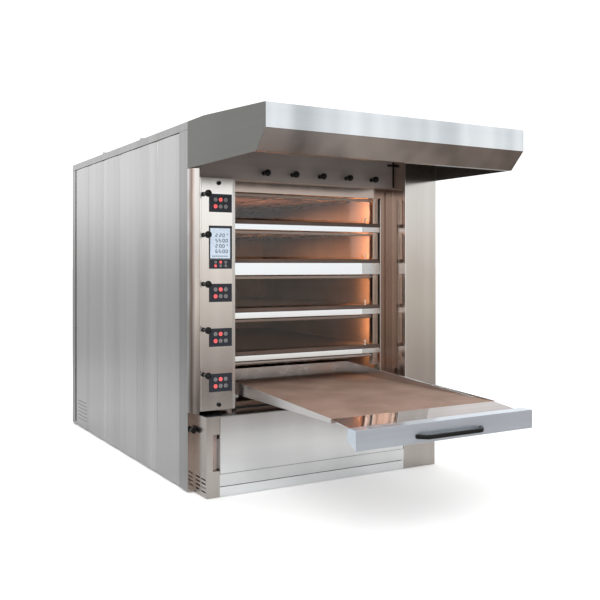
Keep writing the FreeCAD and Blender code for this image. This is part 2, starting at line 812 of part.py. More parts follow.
base_depth = ("-base_out", "0")
base_height = ("base_bottom", "ledge_top - skin")
left_post = shell("left_post_box", ("base_left", "post_left_end"), base_depth, base_height, open_ends="y+")
grip_box = block("grip_box", ("grip_start - skin", "post_left_end"),
                 ("-base_out", "-base_out + grip_depth + skin"),
                 ("grip_bottom - skin", "grip_top + skin"))
grip = block("grip_recess", ("grip_start", "post_left_end"), ("-base_out", "-base_out + grip_depth"),
             ("grip_bottom", "grip_top"))
vents = []
for column in range(2):
    for row in range(4):
        start = f"-base_out + vent_start + {column} * (vent_length + vent_gap)"
        low = f"vent_low + {row} * vent_pitch"
        vents.append(block(f"vent_{column}_{row}", ("base_left", "base_left + skin"),
                           (start, f"{start} + vent_length"), (low, f"{low} + vent_height")))
left_post = cut("left_post", fuse("left_post_solid", left_post, grip_box), grip, *vents)

right_box = shell("right_post_box", ("post_right_start", "base_right"), base_depth, base_height,
                  open_ends="y+")
lug = block("hinge_lug", ("door_pin_x - lug_reach", "post_right_start"),
            ("-door_pin_y - lug_front", "-door_pin_y + lug_back"),
            ("door_bottom - lug_drop", "door_bottom - lug_top"))
lug_bore = rod("lug_bore", "z", "door_pin_x", "-door_pin_y",
               ("door_bottom - lug_drop", "door_bottom - lug_top"),
               "door_pin_radius + running")
right_post = cut("right_post", fuse("right_post_solid", right_box, lug), lug_bore)
piece("base_posts", together("base_posts", left_post, right_post))

infill = ("post_left_end", "post_right_start")
ledge = block("ledge_sheet", ("base_left", "base_right"), base_depth, ("ledge_top - skin", "ledge_top"))
ledge_bore = rod("ledge_bore", "z", "door_pin_x", "-door_pin_y", ("ledge_top - skin", "ledge_top"),
                 "door_pin_radius + running")
piece("base_trim", together(
    "base_trim",
    cut("ledge", ledge, ledge_bore),
    block("lower_rail", infill, ("-base_out", "-base_out + skin"), ("lower_rail_bottom", "lower_rail_top")),
    block("kick_plate", infill, ("-base_out + skin", "-base_out + 2 * skin"), ("base_bottom", "kick_top")),
))

door_front = "-base_out - door_proud"
door_pan = shell("base_door_pan", ("door_left", "door_right"), (door_front, f"{door_front} + door_thick"),
                 ("door_bottom", "door_top"), open_ends="y+")
piece("base_door", fuse(
    "base_door", door_pan,
    rod("base_door_low_pin", "z", "door_pin_x", "-door_pin_y", ("door_bottom - lug_pin_drop", "door_bottom"),
        "door_pin_radius"),
    rod("base_door_high_pin", "z", "door_pin_x", "-door_pin_y", ("door_top", "ledge_top - 0.5"),
        "door_pin_radius"),
))
piece("lock_knob", fuse(
    "lock_knob",
    rod("lock_shaft", "y", "lock_x", ("-lock_shank", "jamb_depth + rear_gap"), "lock_height", "rod_radius"),
    rod("lock_cap", "y", "lock_x", ("-lock_reach", "-lock_shank"), "lock_height", "lock_radius"),
    block("lock_wing", ("lock_x - lock_wing_half", "lock_x + lock_wing_half"),
          ("-lock_reach - lock_wing_out", "-lock_reach"),
          ("lock_height - lock_wing_rise", "lock_height + lock_wing_rise")),
))

# ---------------------------------------------------------------- pull-out hearth

tray_y = ("tray_front", "tray_back")
tray_x = ("tray_left + tray_sheet", "tray_right - tray_sheet")
cheek = [("tray_front", "tray_bottom"), ("tray_back", "tray_bottom"), ("tray_back", "tray_rear_top"),
         ("tray_front", "tray_front_top")]
piece("drawer_hearth", block("drawer_hearth", tray_x, tray_y,
                             ("tray_bottom + tray_floor", "deck_5_floor")))

roller_height = "tray_bottom - roller_gap - roller_radius"
rear_arms = []
for i, x in enumerate((("tray_left + roller_bracket_low", "tray_left + roller_bracket_high"),
                       ("tray_right - roller_bracket_high", "tray_right - roller_bracket_low"))):
    plate = block(f"rear_bracket_{i}_plain", x, around("rear_roller_y", "roller_bracket_size"),
                  ("tray_bottom - roller_bracket_size", "tray_bottom"))
    bore = rod(f"rear_bracket_bore_{i}", "x", x, "rear_roller_y", roller_height, "stub_radius + running")
    rear_arms.append(cut(f"rear_bracket_{i}", plate, bore))
front_arms = []
for i, x in enumerate((("tray_left + arm_inset", "tray_left + arm_inset + arm_width"),
                       ("tray_right - arm_inset - arm_width", "tray_right - arm_inset"))):
    arm = block(f"front_arm_{i}_bar", x, ("panel_front + skin", "tray_front + arm_end"),
                ("tray_bottom - arm_low", "tray_bottom - arm_high"))
    pad = block(f"front_arm_{i}_pad", x, ("tray_front + pad_start", "tray_front + pad_end"),
                ("tray_bottom - 3", "tray_bottom"))
    front_arms.append(fuse(f"front_arm_{i}", arm, pad))
piece("drawer_frame", together(
    "drawer_frame",
    block("tray_sheet_floor", tray_x, tray_y, ("tray_bottom", "tray_bottom + tray_floor")),
    extrusion("tray_left_cheek", "YZ", cheek, ("tray_left", "tray_left + tray_sheet")),
    extrusion("tray_right_cheek", "YZ", cheek, ("tray_right - tray_sheet", "tray_right")),
    block("tray_upstand", tray_x, ("tray_back", "tray_back + tray_sheet"), ("tray_bottom", "tray_rear_top")),
    *rear_arms, *front_arms,
))

panel_back = "panel_front + panel_flange"
ramp_outline = [
    ("tray_front", "deck_5_floor"), (panel_back, "ramp_end"),
    (panel_back, "ramp_end - skin"), ("tray_front", "deck_5_floor - skin"),
]
piece("drawer_ramp", extrusion("drawer_ramp", "YZ", ramp_outline,
                               ("tray_left + tray_sheet", "ramp_right")))

flange = [
    ("panel_front + skin", "panel_bottom"), ("panel_front + flange_notch_start", "panel_bottom"),
    ("panel_front + flange_notch_y", "panel_bottom + flange_notch_z"),
    (panel_back, "panel_bottom + flange_back_z"),
    (panel_back, "panel_top"), ("panel_front + skin", "panel_top"),
]
inside_flanges = ("panel_left + skin", "panel_right - skin")
piece("drawer_front", fuse(
    "drawer_front",
    block("front_sheet", ("panel_left", "panel_right"), ("panel_front", "panel_front + skin"),
          ("panel_bottom", "panel_top")),
    extrusion("left_flange", "YZ", flange, ("panel_left", "panel_left + skin")),
    extrusion("right_flange", "YZ", flange, ("panel_right - skin", "panel_right")),
    block("top_return", inside_flanges, ("panel_front + skin", panel_back),
          ("panel_top - skin", "panel_top")),
    block("top_lip", inside_flanges, (f"{panel_back} - skin", panel_back),
          ("ramp_end - skin", "panel_top - skin")),
))

bow_centre = "(panel_left + panel_right) / 2"


def bow(foot, bar, out):
    """Half of the bow's outline: foot on the panel, then the end of the straight bar."""
    return [(f"{bow_centre} - ({foot})", "panel_front"),
            (f"{bow_centre} - ({bar})", f"panel_front - ({out})"),
            (f"{bow_centre} + ({bar})", f"panel_front - ({out})"),
            (f"{bow_centre} + ({foot})", "panel_front")]


outer_bow = bow("handle_feet / 2 + handle_foot_half", "handle_bar / 2 + handle_elbow",
                "handle_out + handle_size / 2")
inner_bow = bow("handle_feet / 2 - handle_foot_half", "handle_bar / 2 - handle_elbow",
                "handle_out - handle_size / 2")
piece("drawer_handle", extrusion("drawer_handle", "XY", outer_bow + list(reversed(inner_bow)),
                                 around("handle_height", "handle_size")))


def roller_pair(name, y, stub_side):
    """Two rollers on stub shafts, whose stubs point outwards or inwards."""
    solids = []
    left = ("tray_left + wheel_gap", "tray_left + wheel_gap + roller_width")
    right = ("tray_right - wheel_gap - roller_width", "tray_right - wheel_gap")
    stubs = {
        "outwards": (("tray_left - stub_out", left[0]), (right[1], "tray_right + stub_out")),
        "inwards": ((left[1], f"{left[1]} + stub_in"), (f"{right[0]} - stub_in", right[0])),
    }[stub_side]
    for i, (wheel, stub) in enumerate(zip((left, right), stubs)):
        solids.append(fuse(
            f"{name}_{i}",
            rod(f"{name}_wheel_{i}", "x", wheel, y, roller_height, "roller_radius"),
            rod(f"{name}_stub_{i}", "x", stub, y, roller_height, "stub_radius"),
        ))
    return together(name, *solids)


piece("front_rollers", roller_pair("front_rollers", "front_roller_y", "outwards"))
piece("rear_rollers", roller_pair("rear_rollers", "rear_roller_y", "inwards"))

guides = []
rail_top = f"{roller_height} - roller_radius - roller_gap"
for i, (bar, plate, skid) in enumerate((
        (("chamber_left", "chamber_left + guide_width"),
         ("opening_left + guide_side_gap", "tray_left - skin"),
         ("tray_left + skid_inset", "tray_left + skid_end")),
        (("chamber_right - guide_width", "chamber_right"),
         ("tray_right + skin", "opening_right - guide_side_gap"),
         ("tray_right - skid_end", "tray_right - skid_inset")))):
    guides.append(block(f"guide_rail_{i}", bar, ("jamb_depth + bracket_reach", "chamber_depth - guide_end"),
                        (f"{rail_top} - guide_thick", rail_top)))
    guides.append(block(f"guide_skid_{i}", skid, ("skid_start", "skid_back"),
                        (rail_top, "tray_bottom - roller_gap")))
    bracket = block(f"roller_bracket_{i}_plain", plate,
                    ("roller_plate_front", "jamb_depth + bracket_reach - skin"),
                    ("tray_bottom - roller_plate_low", "tray_bottom + roller_plate_high"))
    bore = rod(f"roller_bracket_bore_{i}", "x", plate, "front_roller_y", roller_height,
               "stub_radius + running")
    guides.append(cut(f"roller_bracket_{i}", bracket, bore))
piece("drawer_rails", together("drawer_rails", *guides))

# ---------------------------------------------------------------- heating

furnace_y = ("furnace_start", "furnace_end")
collar_z = ("furnace_height + furnace_radius - collar_sunk", "ledge_top + collar_top")
furnace_skin = fuse(
    "furnace_skin",
    rod("furnace_drum", "y", "middle", furnace_y, "furnace_height", "furnace_radius"),
    rod("furnace_collar", "z", "middle", "riser_y", collar_z, "flue_pipe_radius"),
    *[block(f"cradle_{i}", around("middle", "cradle_width"), (y, f"{y} + cradle_thick"),
             ("foot_height + rail_size", "cradle_top"))
      for i, y in enumerate(("furnace_start + cradle_front", "furnace_end - cradle_rear"))],
)
piece("combustion_chamber", cut(
    "combustion_chamber", furnace_skin,
    rod("furnace_inside", "y", "middle", ("furnace_start + furnace_wall", "furnace_end - furnace_wall"),
        "furnace_height", "furnace_radius - furnace_wall"),
    rod("collar_inside", "z", "middle", "riser_y", ("furnace_height", "ledge_top + collar_top"),
        "flue_pipe_radius - furnace_wall"),
))
piece("burner", fuse(
    "burner",
    rod("burner_flange", "y", "middle", ("furnace_start - burner_flange", "furnace_start"),
        "furnace_height", "burner_flange_radius"),
    rod("blast_tube", "y", "middle", ("blast_start", "furnace_start - burner_flange"),
        "furnace_height", "blast_radius"),
    block("burner_body", around("middle", "burner_width"), ("-burner_front", "burner_back"),
          around("furnace_height", "burner_height")),
    rod("burner_blower", "x", ("middle + blower_start", "middle + blower_end"), "blower_y",
        "furnace_height", "blower_radius"),
))

riser_x = around("middle", "riser_width")
riser = shell("riser", riser_x, ("riser_y - riser_half", "riser_y + riser_back"),
              ("ledge_top + collar_top", "riser_top"))
riser_inlet = rod("riser_inlet", "z", "middle", "riser_y",
                  ("ledge_top + collar_top", "ledge_top + collar_top + skin"),
                  "flue_pipe_radius - furnace_wall")
riser_outlet = rod("riser_outlet", "z", "middle", "riser_y", ("riser_top - skin", "riser_top"),
                   "flue_pipe_radius - pipe_wall")
fan_y = ("riser_y + riser_back", "motor_face")
fan_box = shell("fan_box", around("middle", "fan_box_size"), fan_y,
                around("fan_height", "fan_box_size"))
fan_bore = rod("fan_bore", "y", "middle", ("motor_face - skin", "motor_face"), "fan_height",
               "fan_shaft_radius + running")
piece("flue_duct", together(
    "flue_duct",
    cut("riser_duct", riser, riser_inlet, riser_outlet),
    pipe("flue_pipe", "riser_y", ("riser_top", CLAD_TOP), "flue_pipe_radius"),
    cut("fan_housing", fan_box, fan_bore),
))

motor_y = ("motor_face", "motor_face + motor_length")
motor = fuse(
    "motor_solid",
    rod("motor_case", "y", "middle", motor_y, "fan_height", "motor_radius"),
    block("motor_flange", around("middle", "motor_flange_size"),
          ("motor_face", "motor_face + motor_flange_thick"),
          around("fan_height", "motor_flange_size")),
)
motor_bore = rod("motor_bore", "y", "middle", ("motor_face", "motor_face + motor_bore_depth"), "fan_height",
                 "fan_shaft_radius + running")
piece("fan_motor", cut("fan_motor", motor, motor_bore))

wheel_y = ("riser_y + wheel_front", "riser_y + wheel_back")
wheel = [
    rod("fan_back", "y", "middle", ("riser_y + wheel_back - wheel_plate", "riser_y + wheel_back"),
        "fan_height", "fan_radius"),
    rod("fan_hub", "y", "middle", wheel_y, "fan_height", "fan_hub_radius"),
    rod("fan_shaft", "y", "middle", ("riser_y + wheel_front", "riser_y + shaft_end"), "fan_height",
        "fan_shaft_radius"),
]
BLADES = 12
for i in range(BLADES):
    blade = doc.addObject("Part::Box", f"fan_blade_{i}")
    blade.Placement = FreeCAD.Placement(
        FreeCAD.Vector(), FreeCAD.Rotation(FreeCAD.Vector(0, 1, 0), 360 * i / BLADES))
    blade.setExpression("Length", bound("fan_radius - blade_gap"))
    blade.setExpression("Width", bound(f"({wheel_y[1]}) - ({wheel_y[0]})"))
    blade.setExpression("Height", "3")
    for axis, text in zip("xyz", ("middle", wheel_y[0], "fan_height")):
        blade.setExpression(f"Placement.Base.{axis}", place(axis, text))
    wheel.append(blade)
piece("fan_wheel", fuse("fan_wheel", *wheel))

slab_z = ("ledge_top + slab_low", "body_top - slab_high")
lining_y = ("jamb_depth + lining_start", "chamber_depth + lining_end")
rear_y = ("chamber_depth + rear_slab_start", "body_depth - rear_slab_gap")
left_slab_x = ("cassette_inset + cassette_depth + slab_gap", "chamber_left - skin - slab_gap")
right_slab_x = ("chamber_right + skin + slab_gap",
                "body_width - cassette_inset - cassette_depth - slab_gap")
piece("insulation", together(
    "insulation",
    block("left_slab", left_slab_x, lining_y, slab_z),
    block("right_slab", right_slab_x, lining_y, slab_z),
    block("top_slab", ("chamber_left", "chamber_right"), lining_y,
          ("deck_1_ceiling + top_slab_rise", "body_top - slab_high")),
    block("rear_left_slab", (left_slab_x[0], "middle - riser_clear"), rear_y, slab_z),
    block("rear_right_slab", ("middle + riser_clear", right_slab_x[1]), rear_y, slab_z),
))

doc.recompute()

# The bottom deck's door is turned up out of the way of the pulled-out hearth.
door_5 = doc.addObject("Part::Feature", "door_5")
door_5.Shape = closed_door_5.Shape.copy()
hinge_point = FreeCAD.Vector(0, worked(place("y", "hinge_y")), worked(place("z", hinge_height(5))))
turn = FreeCAD.Rotation(FreeCAD.Vector(1, 0, 0), worked(bound("open_angle")))
door_5.Placement = FreeCAD.Placement(FreeCAD.Vector(), turn, hinge_point)
piece("door_5", door_5)

doc.recompute()

failed = [o.Label for o in doc.Objects if "Invalid" in o.State or "Error" in o.State]
if failed:
    raise RuntimeError(f"objects failed to build: {failed}")
for name, solid in pieces.items():
    if solid.Shape.isNull() or not solid.Shape.isValid() or not solid.Shape.Solids:
        raise RuntimeError(f"{name} has no valid solid")

os.makedirs("parts", exist_ok=True)
for name, solid in pieces.items():
    solid.Shape.exportStep(f"parts/{name}.step")
    size = solid.Shape.BoundBox
    print(f"{name}: {len(solid.Shape.Solids)} solids, {solid.Shape.Volume / 1e6:.2f} l, "
          f"{size.XLength:.0f} x {size.YLength:.0f} x {size.ZLength:.0f} mm")
print(len(pieces), "sub-parts")
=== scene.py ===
import json
import math
import random

import bmesh
import bpy
from mathutils import Matrix, Vector

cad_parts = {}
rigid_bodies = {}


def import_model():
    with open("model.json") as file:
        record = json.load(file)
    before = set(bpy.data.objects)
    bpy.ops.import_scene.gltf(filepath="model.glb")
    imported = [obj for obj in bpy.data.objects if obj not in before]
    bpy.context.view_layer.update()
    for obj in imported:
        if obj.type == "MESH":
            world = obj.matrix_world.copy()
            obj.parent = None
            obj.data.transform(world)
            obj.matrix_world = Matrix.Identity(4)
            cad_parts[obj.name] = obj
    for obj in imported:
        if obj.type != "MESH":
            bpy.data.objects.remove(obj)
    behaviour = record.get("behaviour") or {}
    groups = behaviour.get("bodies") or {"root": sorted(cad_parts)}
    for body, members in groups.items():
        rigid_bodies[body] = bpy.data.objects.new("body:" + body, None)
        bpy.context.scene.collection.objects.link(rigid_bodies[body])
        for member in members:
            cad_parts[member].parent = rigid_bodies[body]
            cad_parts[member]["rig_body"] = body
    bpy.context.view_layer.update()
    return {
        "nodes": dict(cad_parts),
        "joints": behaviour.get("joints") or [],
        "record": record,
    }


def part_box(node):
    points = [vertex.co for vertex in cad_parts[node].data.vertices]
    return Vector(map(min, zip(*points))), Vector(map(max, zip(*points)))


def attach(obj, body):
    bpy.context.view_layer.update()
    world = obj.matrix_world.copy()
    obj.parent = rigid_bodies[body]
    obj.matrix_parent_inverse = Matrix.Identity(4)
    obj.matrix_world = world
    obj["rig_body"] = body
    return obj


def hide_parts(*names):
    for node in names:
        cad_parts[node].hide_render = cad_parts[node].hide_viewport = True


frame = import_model()

# A five-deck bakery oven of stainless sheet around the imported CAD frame, in metres.
# Every place below comes from the CAD nodes' boxes. +X is the oven's right, -Y its front.

MM = 0.001
nodes = frame["nodes"]
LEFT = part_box("corner_trim")[0].x
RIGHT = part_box("corner_trim")[1].x
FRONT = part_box("corner_trim")[0].y
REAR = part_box("rear_panels")[1].y
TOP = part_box("roof_panels")[1].z
random.seed(12)


# ---------------------------------------------------------------- mesh helpers

def islands(bm):
    """The connected lumps of a mesh, each as a list of vertices."""
    left = set(bm.verts)
    lumps = []
    while left:
        stack = [left.pop()]
        lump = []
        while stack:
            vert = stack.pop()
            lump.append(vert)
            for edge in vert.link_edges:
                other = edge.other_vert(vert)
                if other in left:
                    left.remove(other)
                    stack.append(other)
        lumps.append(lump)
    return lumps


def extent(points):
    """Lowest and highest corner of some points."""
    points = list(points)
    low = Vector([min(p[i] for p in points) for i in range(3)])
    high = Vector([max(p[i] for p in points) for i in range(3)])
    return low, high


def clean_copy(node):
    """A CAD node's mesh with its split corners joined and its flat faces whole."""
    bm = bmesh.new()
    bm.from_mesh(nodes[node].data)
    bmesh.ops.remove_doubles(bm, verts=bm.verts, dist=MM / 500)
    bmesh.ops.dissolve_limit(bm, angle_limit=math.radians(0.5), verts=bm.verts, edges=bm.edges)
    return bm


def solids(node):
    """The box of every separate solid in a CAD node."""
    bm = clean_copy(node)
    boxes = [extent(v.co for v in lump) for lump in islands(bm)]
    bm.free()
    return boxes


def round_edges(bm, width, segments=2, angle=35):
    """Bevel every edge sharper than the angle, lump by lump."""
    for lump in islands(bm):
        edges = {e for v in lump for e in v.link_edges}
        sharp = [e for e in edges if e.is_manifold and e.calc_face_angle(0) > math.radians(angle)]
        if sharp:
            bmesh.ops.bevel(bm, geom=sharp, offset=width, segments=segments, profile=0.5,
                            affect="EDGES", clamp_overlap=True)


def add_block(bm, low, high, width=0.0, segments=2):
    """A box between two corners, with rounded edges if a width is given."""
    made = bmesh.ops.create_cube(bm, size=1.0)["verts"]
    for vert in made:
        for i in range(3):
            vert.co[i] = high[i] if vert.co[i] > 0 else low[i]
    if width:
        edges = list({e for v in made for e in v.link_edges})
        bmesh.ops.bevel(bm, geom=edges, offset=width, segments=segments, profile=0.5,
                        affect="EDGES", clamp_overlap=True)


def add_lathe(bm, profile, origin, axis, steps=32):
    """A turned solid: (radius, distance along the axis) points from one end to the other."""
    axis = Vector(axis).normalized()
    side = axis.orthogonal().normalized()
    up = axis.cross(side)
    rings = []
    for radius, along in profile:
        centre = Vector(origin) + axis * along
        if radius <= 0:
            rings.append([bm.verts.new(centre)])
            continue
        ring = []
        for k in range(steps):
            turn = 2 * math.pi * k / steps
            ring.append(bm.verts.new(centre + (side * math.cos(turn) + up * math.sin(turn)) * radius))
        rings.append(ring)
    for first, second in zip(rings, rings[1:]):
        for k in range(steps):
            corners = [first[k % len(first)], first[(k + 1) % len(first)],
                       second[(k + 1) % len(second)], second[k % len(second)]]
            face = list(dict.fromkeys(corners))
            if len(face) > 2:
                bm.faces.new(face)
    if len(rings[0]) > 1:
        bm.faces.new(list(reversed(rings[0])))
    if len(rings[-1]) > 1:
        bm.faces.new(rings[-1])


def add_sweep(bm, path, section, up=Vector((0, 0, 1))):
    """A bar of one section, (across, up) points, along a path, with its ends closed."""
    path = [Vector(p) for p in path]
    rings = []
    for i, point in enumerate(path):
        before = path[max(i - 1, 0)]
        after = path[min(i + 1, len(path) - 1)]
        along = (after - before).normalized()
        across = along.cross(up).normalized()
        over = across.cross(along)
        size = section(i / (len(path) - 1)) if callable(section) else section
        rings.append([bm.verts.new(point + across * a + over * b) for a, b in size])
    count = len(rings[0])
    for first, second in zip(rings, rings[1:]):
        for k in range(count):
            bm.faces.new([first[k], first[(k + 1) % count], second[(k + 1) % count], second[k]])
    bm.faces.new(list(reversed(rings[0])))
    bm.faces.new(rings[-1])


def rounded_corners(points, radius, steps=5, closed=False):
    """A flat polyline with each inner corner turned into an arc."""
    points = [Vector(p) for p in points]
    count = len(points)
    result = []
    for i, point in enumerate(points):
        if not closed and i in (0, count - 1):
            result.append(point)
            continue
        before = points[i - 1] - point
        after = points[(i + 1) % count] - point
        half = before.angle(after) / 2
        reach = min(radius / math.tan(half), before.length * 0.45, after.length * 0.45)
        start = point + before.normalized() * reach
        end = point + after.normalized() * reach
        for k in range(steps + 1):
            t = k / steps
            result.append(start * (1 - t) ** 2 + point * 2 * t * (1 - t) + end * t ** 2)
    return result


def add_folded(bm, line, thickness, span, radius=0.004):
    """Sheet metal folded along (y, z) points, x across the span, as thick to the line's left."""
    line = rounded_corners([Vector((y, z)) for y, z in line], radius)
    inner = []
    for i, point in enumerate(line):
        along = (line[min(i + 1, len(line) - 1)] - line[max(i - 1, 0)]).normalized()
        inner.append(point + Vector((-along.y, along.x)) * thickness)
    outline = line + list(reversed(inner))
    ends = []
    for x in span:
        ends.append([bm.verts.new((x, p.x, p.y)) for p in outline])
    count = len(outline)
    for k in range(count):
        bm.faces.new([ends[0][k], ends[0][(k + 1) % count], ends[1][(k + 1) % count], ends[1][k]])
    half = len(line)
    for k in range(half - 1):
        bm.faces.new([ends[0][k + 1], ends[0][k], ends[0][count - 1 - k], ends[0][count - 2 - k]])
        bm.faces.new([ends[1][k], ends[1][k + 1], ends[1][count - 2 - k], ends[1][count - 1 - k]])


def piece(name, bm, material, body, replaced=(), smooth=50, second=None):
    """Turn a mesh into a named piece that rides on a body; second is (material, test of a face)."""
    bmesh.ops.recalc_face_normals(bm, faces=bm.faces)
    if second:
        for face in bm.faces:
            face.material_index = int(second[1](face))
    mesh = bpy.data.meshes.new(name)
    bm.to_mesh(mesh)
    bm.free()
    mesh.materials.append(material)
    if second:
        mesh.materials.append(second[0])
    mesh.polygons.foreach_set("use_smooth", [True] * len(mesh.polygons))
    mesh.set_sharp_from_angle(angle=math.radians(smooth))
    obj = bpy.data.objects.new(name, mesh)
    bpy.context.scene.collection.objects.link(obj)
    weights = obj.modifiers.new("weights", "WEIGHTED_NORMAL")
    weights.keep_sharp = True
    settle(obj)
    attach(obj, body)
    if replaced:
        stands_for = [replaced] if isinstance(replaced, str) else replaced
        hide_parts(*stands_for)
    return obj


def settle(obj):
    """Apply an object's modifiers."""
    bpy.context.view_layer.update()
    done = bpy.data.meshes.new_from_object(obj.evaluated_get(bpy.context.evaluated_depsgraph_get()))
    done.name = obj.name
    obj.modifiers.clear()
    obj.data = done


def soften(node, material, width, name=None, segments=2):
    """The CAD node with its edges rounded as folded or machined metal has them."""
    bm = clean_copy(node)
    round_edges(bm, width, segments)
    body = nodes[node]["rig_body"]
    return piece(name or f"{node}_rounded", bm, material, body, node)


def slot_of(node):
    return next(row["material_slot"] for row in frame["record"]["subparts"] if row["node"] == node)


# ---------------------------------------------------------------- material helpers

def new_material(name):
    material = bpy.data.materials.new(name)
    material.use_nodes = True
    return material, material.node_tree, material.node_tree.nodes["Principled BSDF"]


def add_node(tree, kind, inputs=None, **settings):
    node = tree.nodes.new(f"ShaderNode{kind}")
    for key, value in settings.items():
        setattr(node, key, value)
    for key, value in (inputs or {}).items():
        if isinstance(value, bpy.types.NodeSocket):
            tree.links.new(value, node.inputs[key])
        else:
            node.inputs[key].default_value = value
    return node


def noise(tree, scale, detail=3.0, stretch=None, roughness=0.6):
    """Noise in the object's own place, stretched if the grain runs one way."""
    where = add_node(tree, "TexCoord").outputs["Object"]
    if stretch:
        where = add_node(tree, "Mapping", {"Vector": where, "Scale": stretch}).outputs["Vector"]
    return add_node(tree, "TexNoise", {"Vector": where, "Scale": scale, "Detail": detail,
                                       "Roughness": roughness}).outputs["Fac"]


def blend_of(tree, first, second, share):
    """A weighted mean of two values."""
    return add_node(tree, "Mix", {"Factor": share, "A": first, "B": second}).outputs["Result"]


def ramp(tree, value, stops):
    """A colour ramp with (place, colour) stops."""
    node = add_node(tree, "ValToRGB", {"Fac": value})
    colours = node.color_ramp
    while len(colours.elements) < len(stops):
        colours.elements.new(0.5)
    for element, (place, colour) in zip(colours.elements, stops):
        element.position = place
        element.color = (*colour, 1)
    return node.outputs["Color"]


def spread(tree, value, low, high, source=(0.3, 0.7)):
    return add_node(tree, "MapRange", {"Value": value, "From Min": source[0], "From Max": source[1],
                                       "To Min": low, "To Max": high}).outputs["Result"]


def bump(tree, shader, height, strength, distance, below=None):
    node = add_node(tree, "Bump", {"Height": height, "Strength": strength, "Distance": distance})
    if below:
        tree.links.new(below, node.inputs["Normal"])
    tree.links.new(node.outputs["Normal"], shader.inputs["Normal"])
    return node.outputs["Normal"]


def painted_height_shade(tree, colour, tone):
    """A colour multiplied by a painted shade that changes with the height above the floor."""
    if not tone:
        return colour
    where = add_node(tree, "SeparateXYZ", {"Vector": add_node(tree, "TexCoord").outputs["Object"]})
    height = spread(tree, where.outputs["Z"], 0, 1, (0, TOP))
    shade = ramp(tree, height, [(z / TOP, (s, s, s)) for z, s in tone])
    return add_node(tree, "Mix", {"Factor": 1.0, "A": colour, "B": shade}, data_type="RGBA",
                    blend_type="MULTIPLY").outputs["Result"]


GRAINS = {"x": (1.5, 500, 500), "y": (500, 1.5, 500), "z": (500, 500, 1.5)}


BANDS = (3.4, 3.4, 0.08)


def steel(name, dark, light, rough, grain="z", wave=0.25, metallic=1.0, streak=0.004, bands=0.0, tone=()):
    """Brushed sheet: fine scratches along the grain, upright rolling bands and soft clouds.

    The tone is (height, shade) pairs for a painted shade that changes up the sheet.
    """
    material, tree, shader = new_material(name)
    scratches = noise(tree, 1.0, 4.0, GRAINS[grain])
    wide = noise(tree, 1.0, 2.0, [s / 40 for s in GRAINS[grain]])
    clouds = noise(tree, 2.3, 3.0)
    mixed = blend_of(tree, blend_of(tree, scratches, wide, 0.7), clouds, 0.2)
    mixed = blend_of(tree, mixed, noise(tree, 1.0, 2.0, BANDS), bands)
    colour = ramp(tree, mixed, [(0.3, dark), (0.7, light)])
    tree.links.new(painted_height_shade(tree, colour, tone), shader.inputs["Base Color"])
    tree.links.new(spread(tree, mixed, rough[0], rough[1]), shader.inputs["Roughness"])
    shader.inputs["Metallic"].default_value = metallic
    swell = bump(tree, shader, noise(tree, 2.0, 1.0), wave, 0.004)
    bump(tree, shader, scratches, streak, 0.0004, swell)
    return material


def plain(name, dark, light, rough, scale=40, metallic=0.0, grit=0.1, depth=0.0004, **extra):
    """A moulded, cast or painted surface: mottled colour and a fine texture."""
    material, tree, shader = new_material(name)
    mottle = noise(tree, scale, 4.0)
    fine = noise(tree, scale * 18, 2.0)
    tree.links.new(ramp(tree, mottle, [(0.3, dark), (0.7, light)]), shader.inputs["Base Color"])
    tree.links.new(spread(tree, mottle, rough[0], rough[1]), shader.inputs["Roughness"])
    shader.inputs["Metallic"].default_value = metallic
    bump(tree, shader, fine, grit, depth)
    for key, value in extra.items():
        shader.inputs[key.replace("_", " ")].default_value = value
    return material


def glowing(name, colour, strength, rough=0.3):
    """A lit surface whose glow is a little uneven."""
    material, tree, shader = new_material(name)
    uneven = noise(tree, 60, 2.0)
    dark = [c * 0.8 for c in colour]
    tree.links.new(ramp(tree, uneven, [(0.2, dark), (0.8, colour)]), shader.inputs["Base Color"])
    tree.links.new(ramp(tree, uneven, [(0.2, dark), (0.8, colour)]), shader.inputs["Emission Color"])
    shader.inputs["Emission Strength"].default_value = strength
    shader.inputs["Roughness"].default_value = rough
    return material


# ---------------------------------------------------------------- materials

CLAD = steel("clad_sheet", (0.44, 0.44, 0.44), (0.66, 0.66, 0.66), (0.20, 0.30), wave=0.3, bands=0.75)
TRIM = steel("trim_sheet", (0.28, 0.28, 0.28), (0.46, 0.46, 0.46), (0.18, 0.28), wave=0.2, bands=0.6)
ROOF = steel("roof_sheet", (0.50, 0.50, 0.50), (0.62, 0.62, 0.62), (0.32, 0.44), grain="y", wave=0.4)
HOOD = steel("hood_sheet", (0.46, 0.48, 0.49), (0.92, 0.94, 0.955), (0.15, 0.23), grain="x", bands=0.8)
# Painted shade: a darker brown copy of the hood steel for the hood's downward faces.
HOOD_UNDERSIDE_SHADE = steel("hood_underside_painted_shade", (0.20, 0.175, 0.16), (0.44, 0.39, 0.355), (0.16, 0.25), grain="x",
                   bands=0.8)
HOOD_END = steel("hood_end_sheet", (0.13, 0.13, 0.122), (0.20, 0.20, 0.188), (0.30, 0.40), grain="y",
                 bands=0.2)
BRIGHT = steel("bright_sheet", (0.70, 0.70, 0.70), (0.82, 0.82, 0.81), (0.16, 0.28), grain="x")
BRIGHT_Z = steel("bright_column_sheet", (0.64, 0.62, 0.60), (0.76, 0.75, 0.73), (0.18, 0.32), wave=0.35)
# Painted shade: the control sheet is darkened towards its bottom by its height ramp.
CONTROL_SHADED = steel("control_sheet_painted_shade", (0.84, 0.81, 0.78), (0.99, 0.97, 0.95), (0.13, 0.20), wave=0.15,
                bands=0.2, tone=((0.7, 0.60), (1.0, 0.84), (1.4, 0.96), (2.0, 1.0)))
RIGHT_COLUMN = steel("right_column_sheet", (0.62, 0.59, 0.56), (0.76, 0.73, 0.70), (0.13, 0.20), bands=0.3)
POLISHED = steel("jamb_sheet", (0.42, 0.34, 0.30), (0.56, 0.47, 0.42), (0.09, 0.16), wave=0.15, bands=0.6)
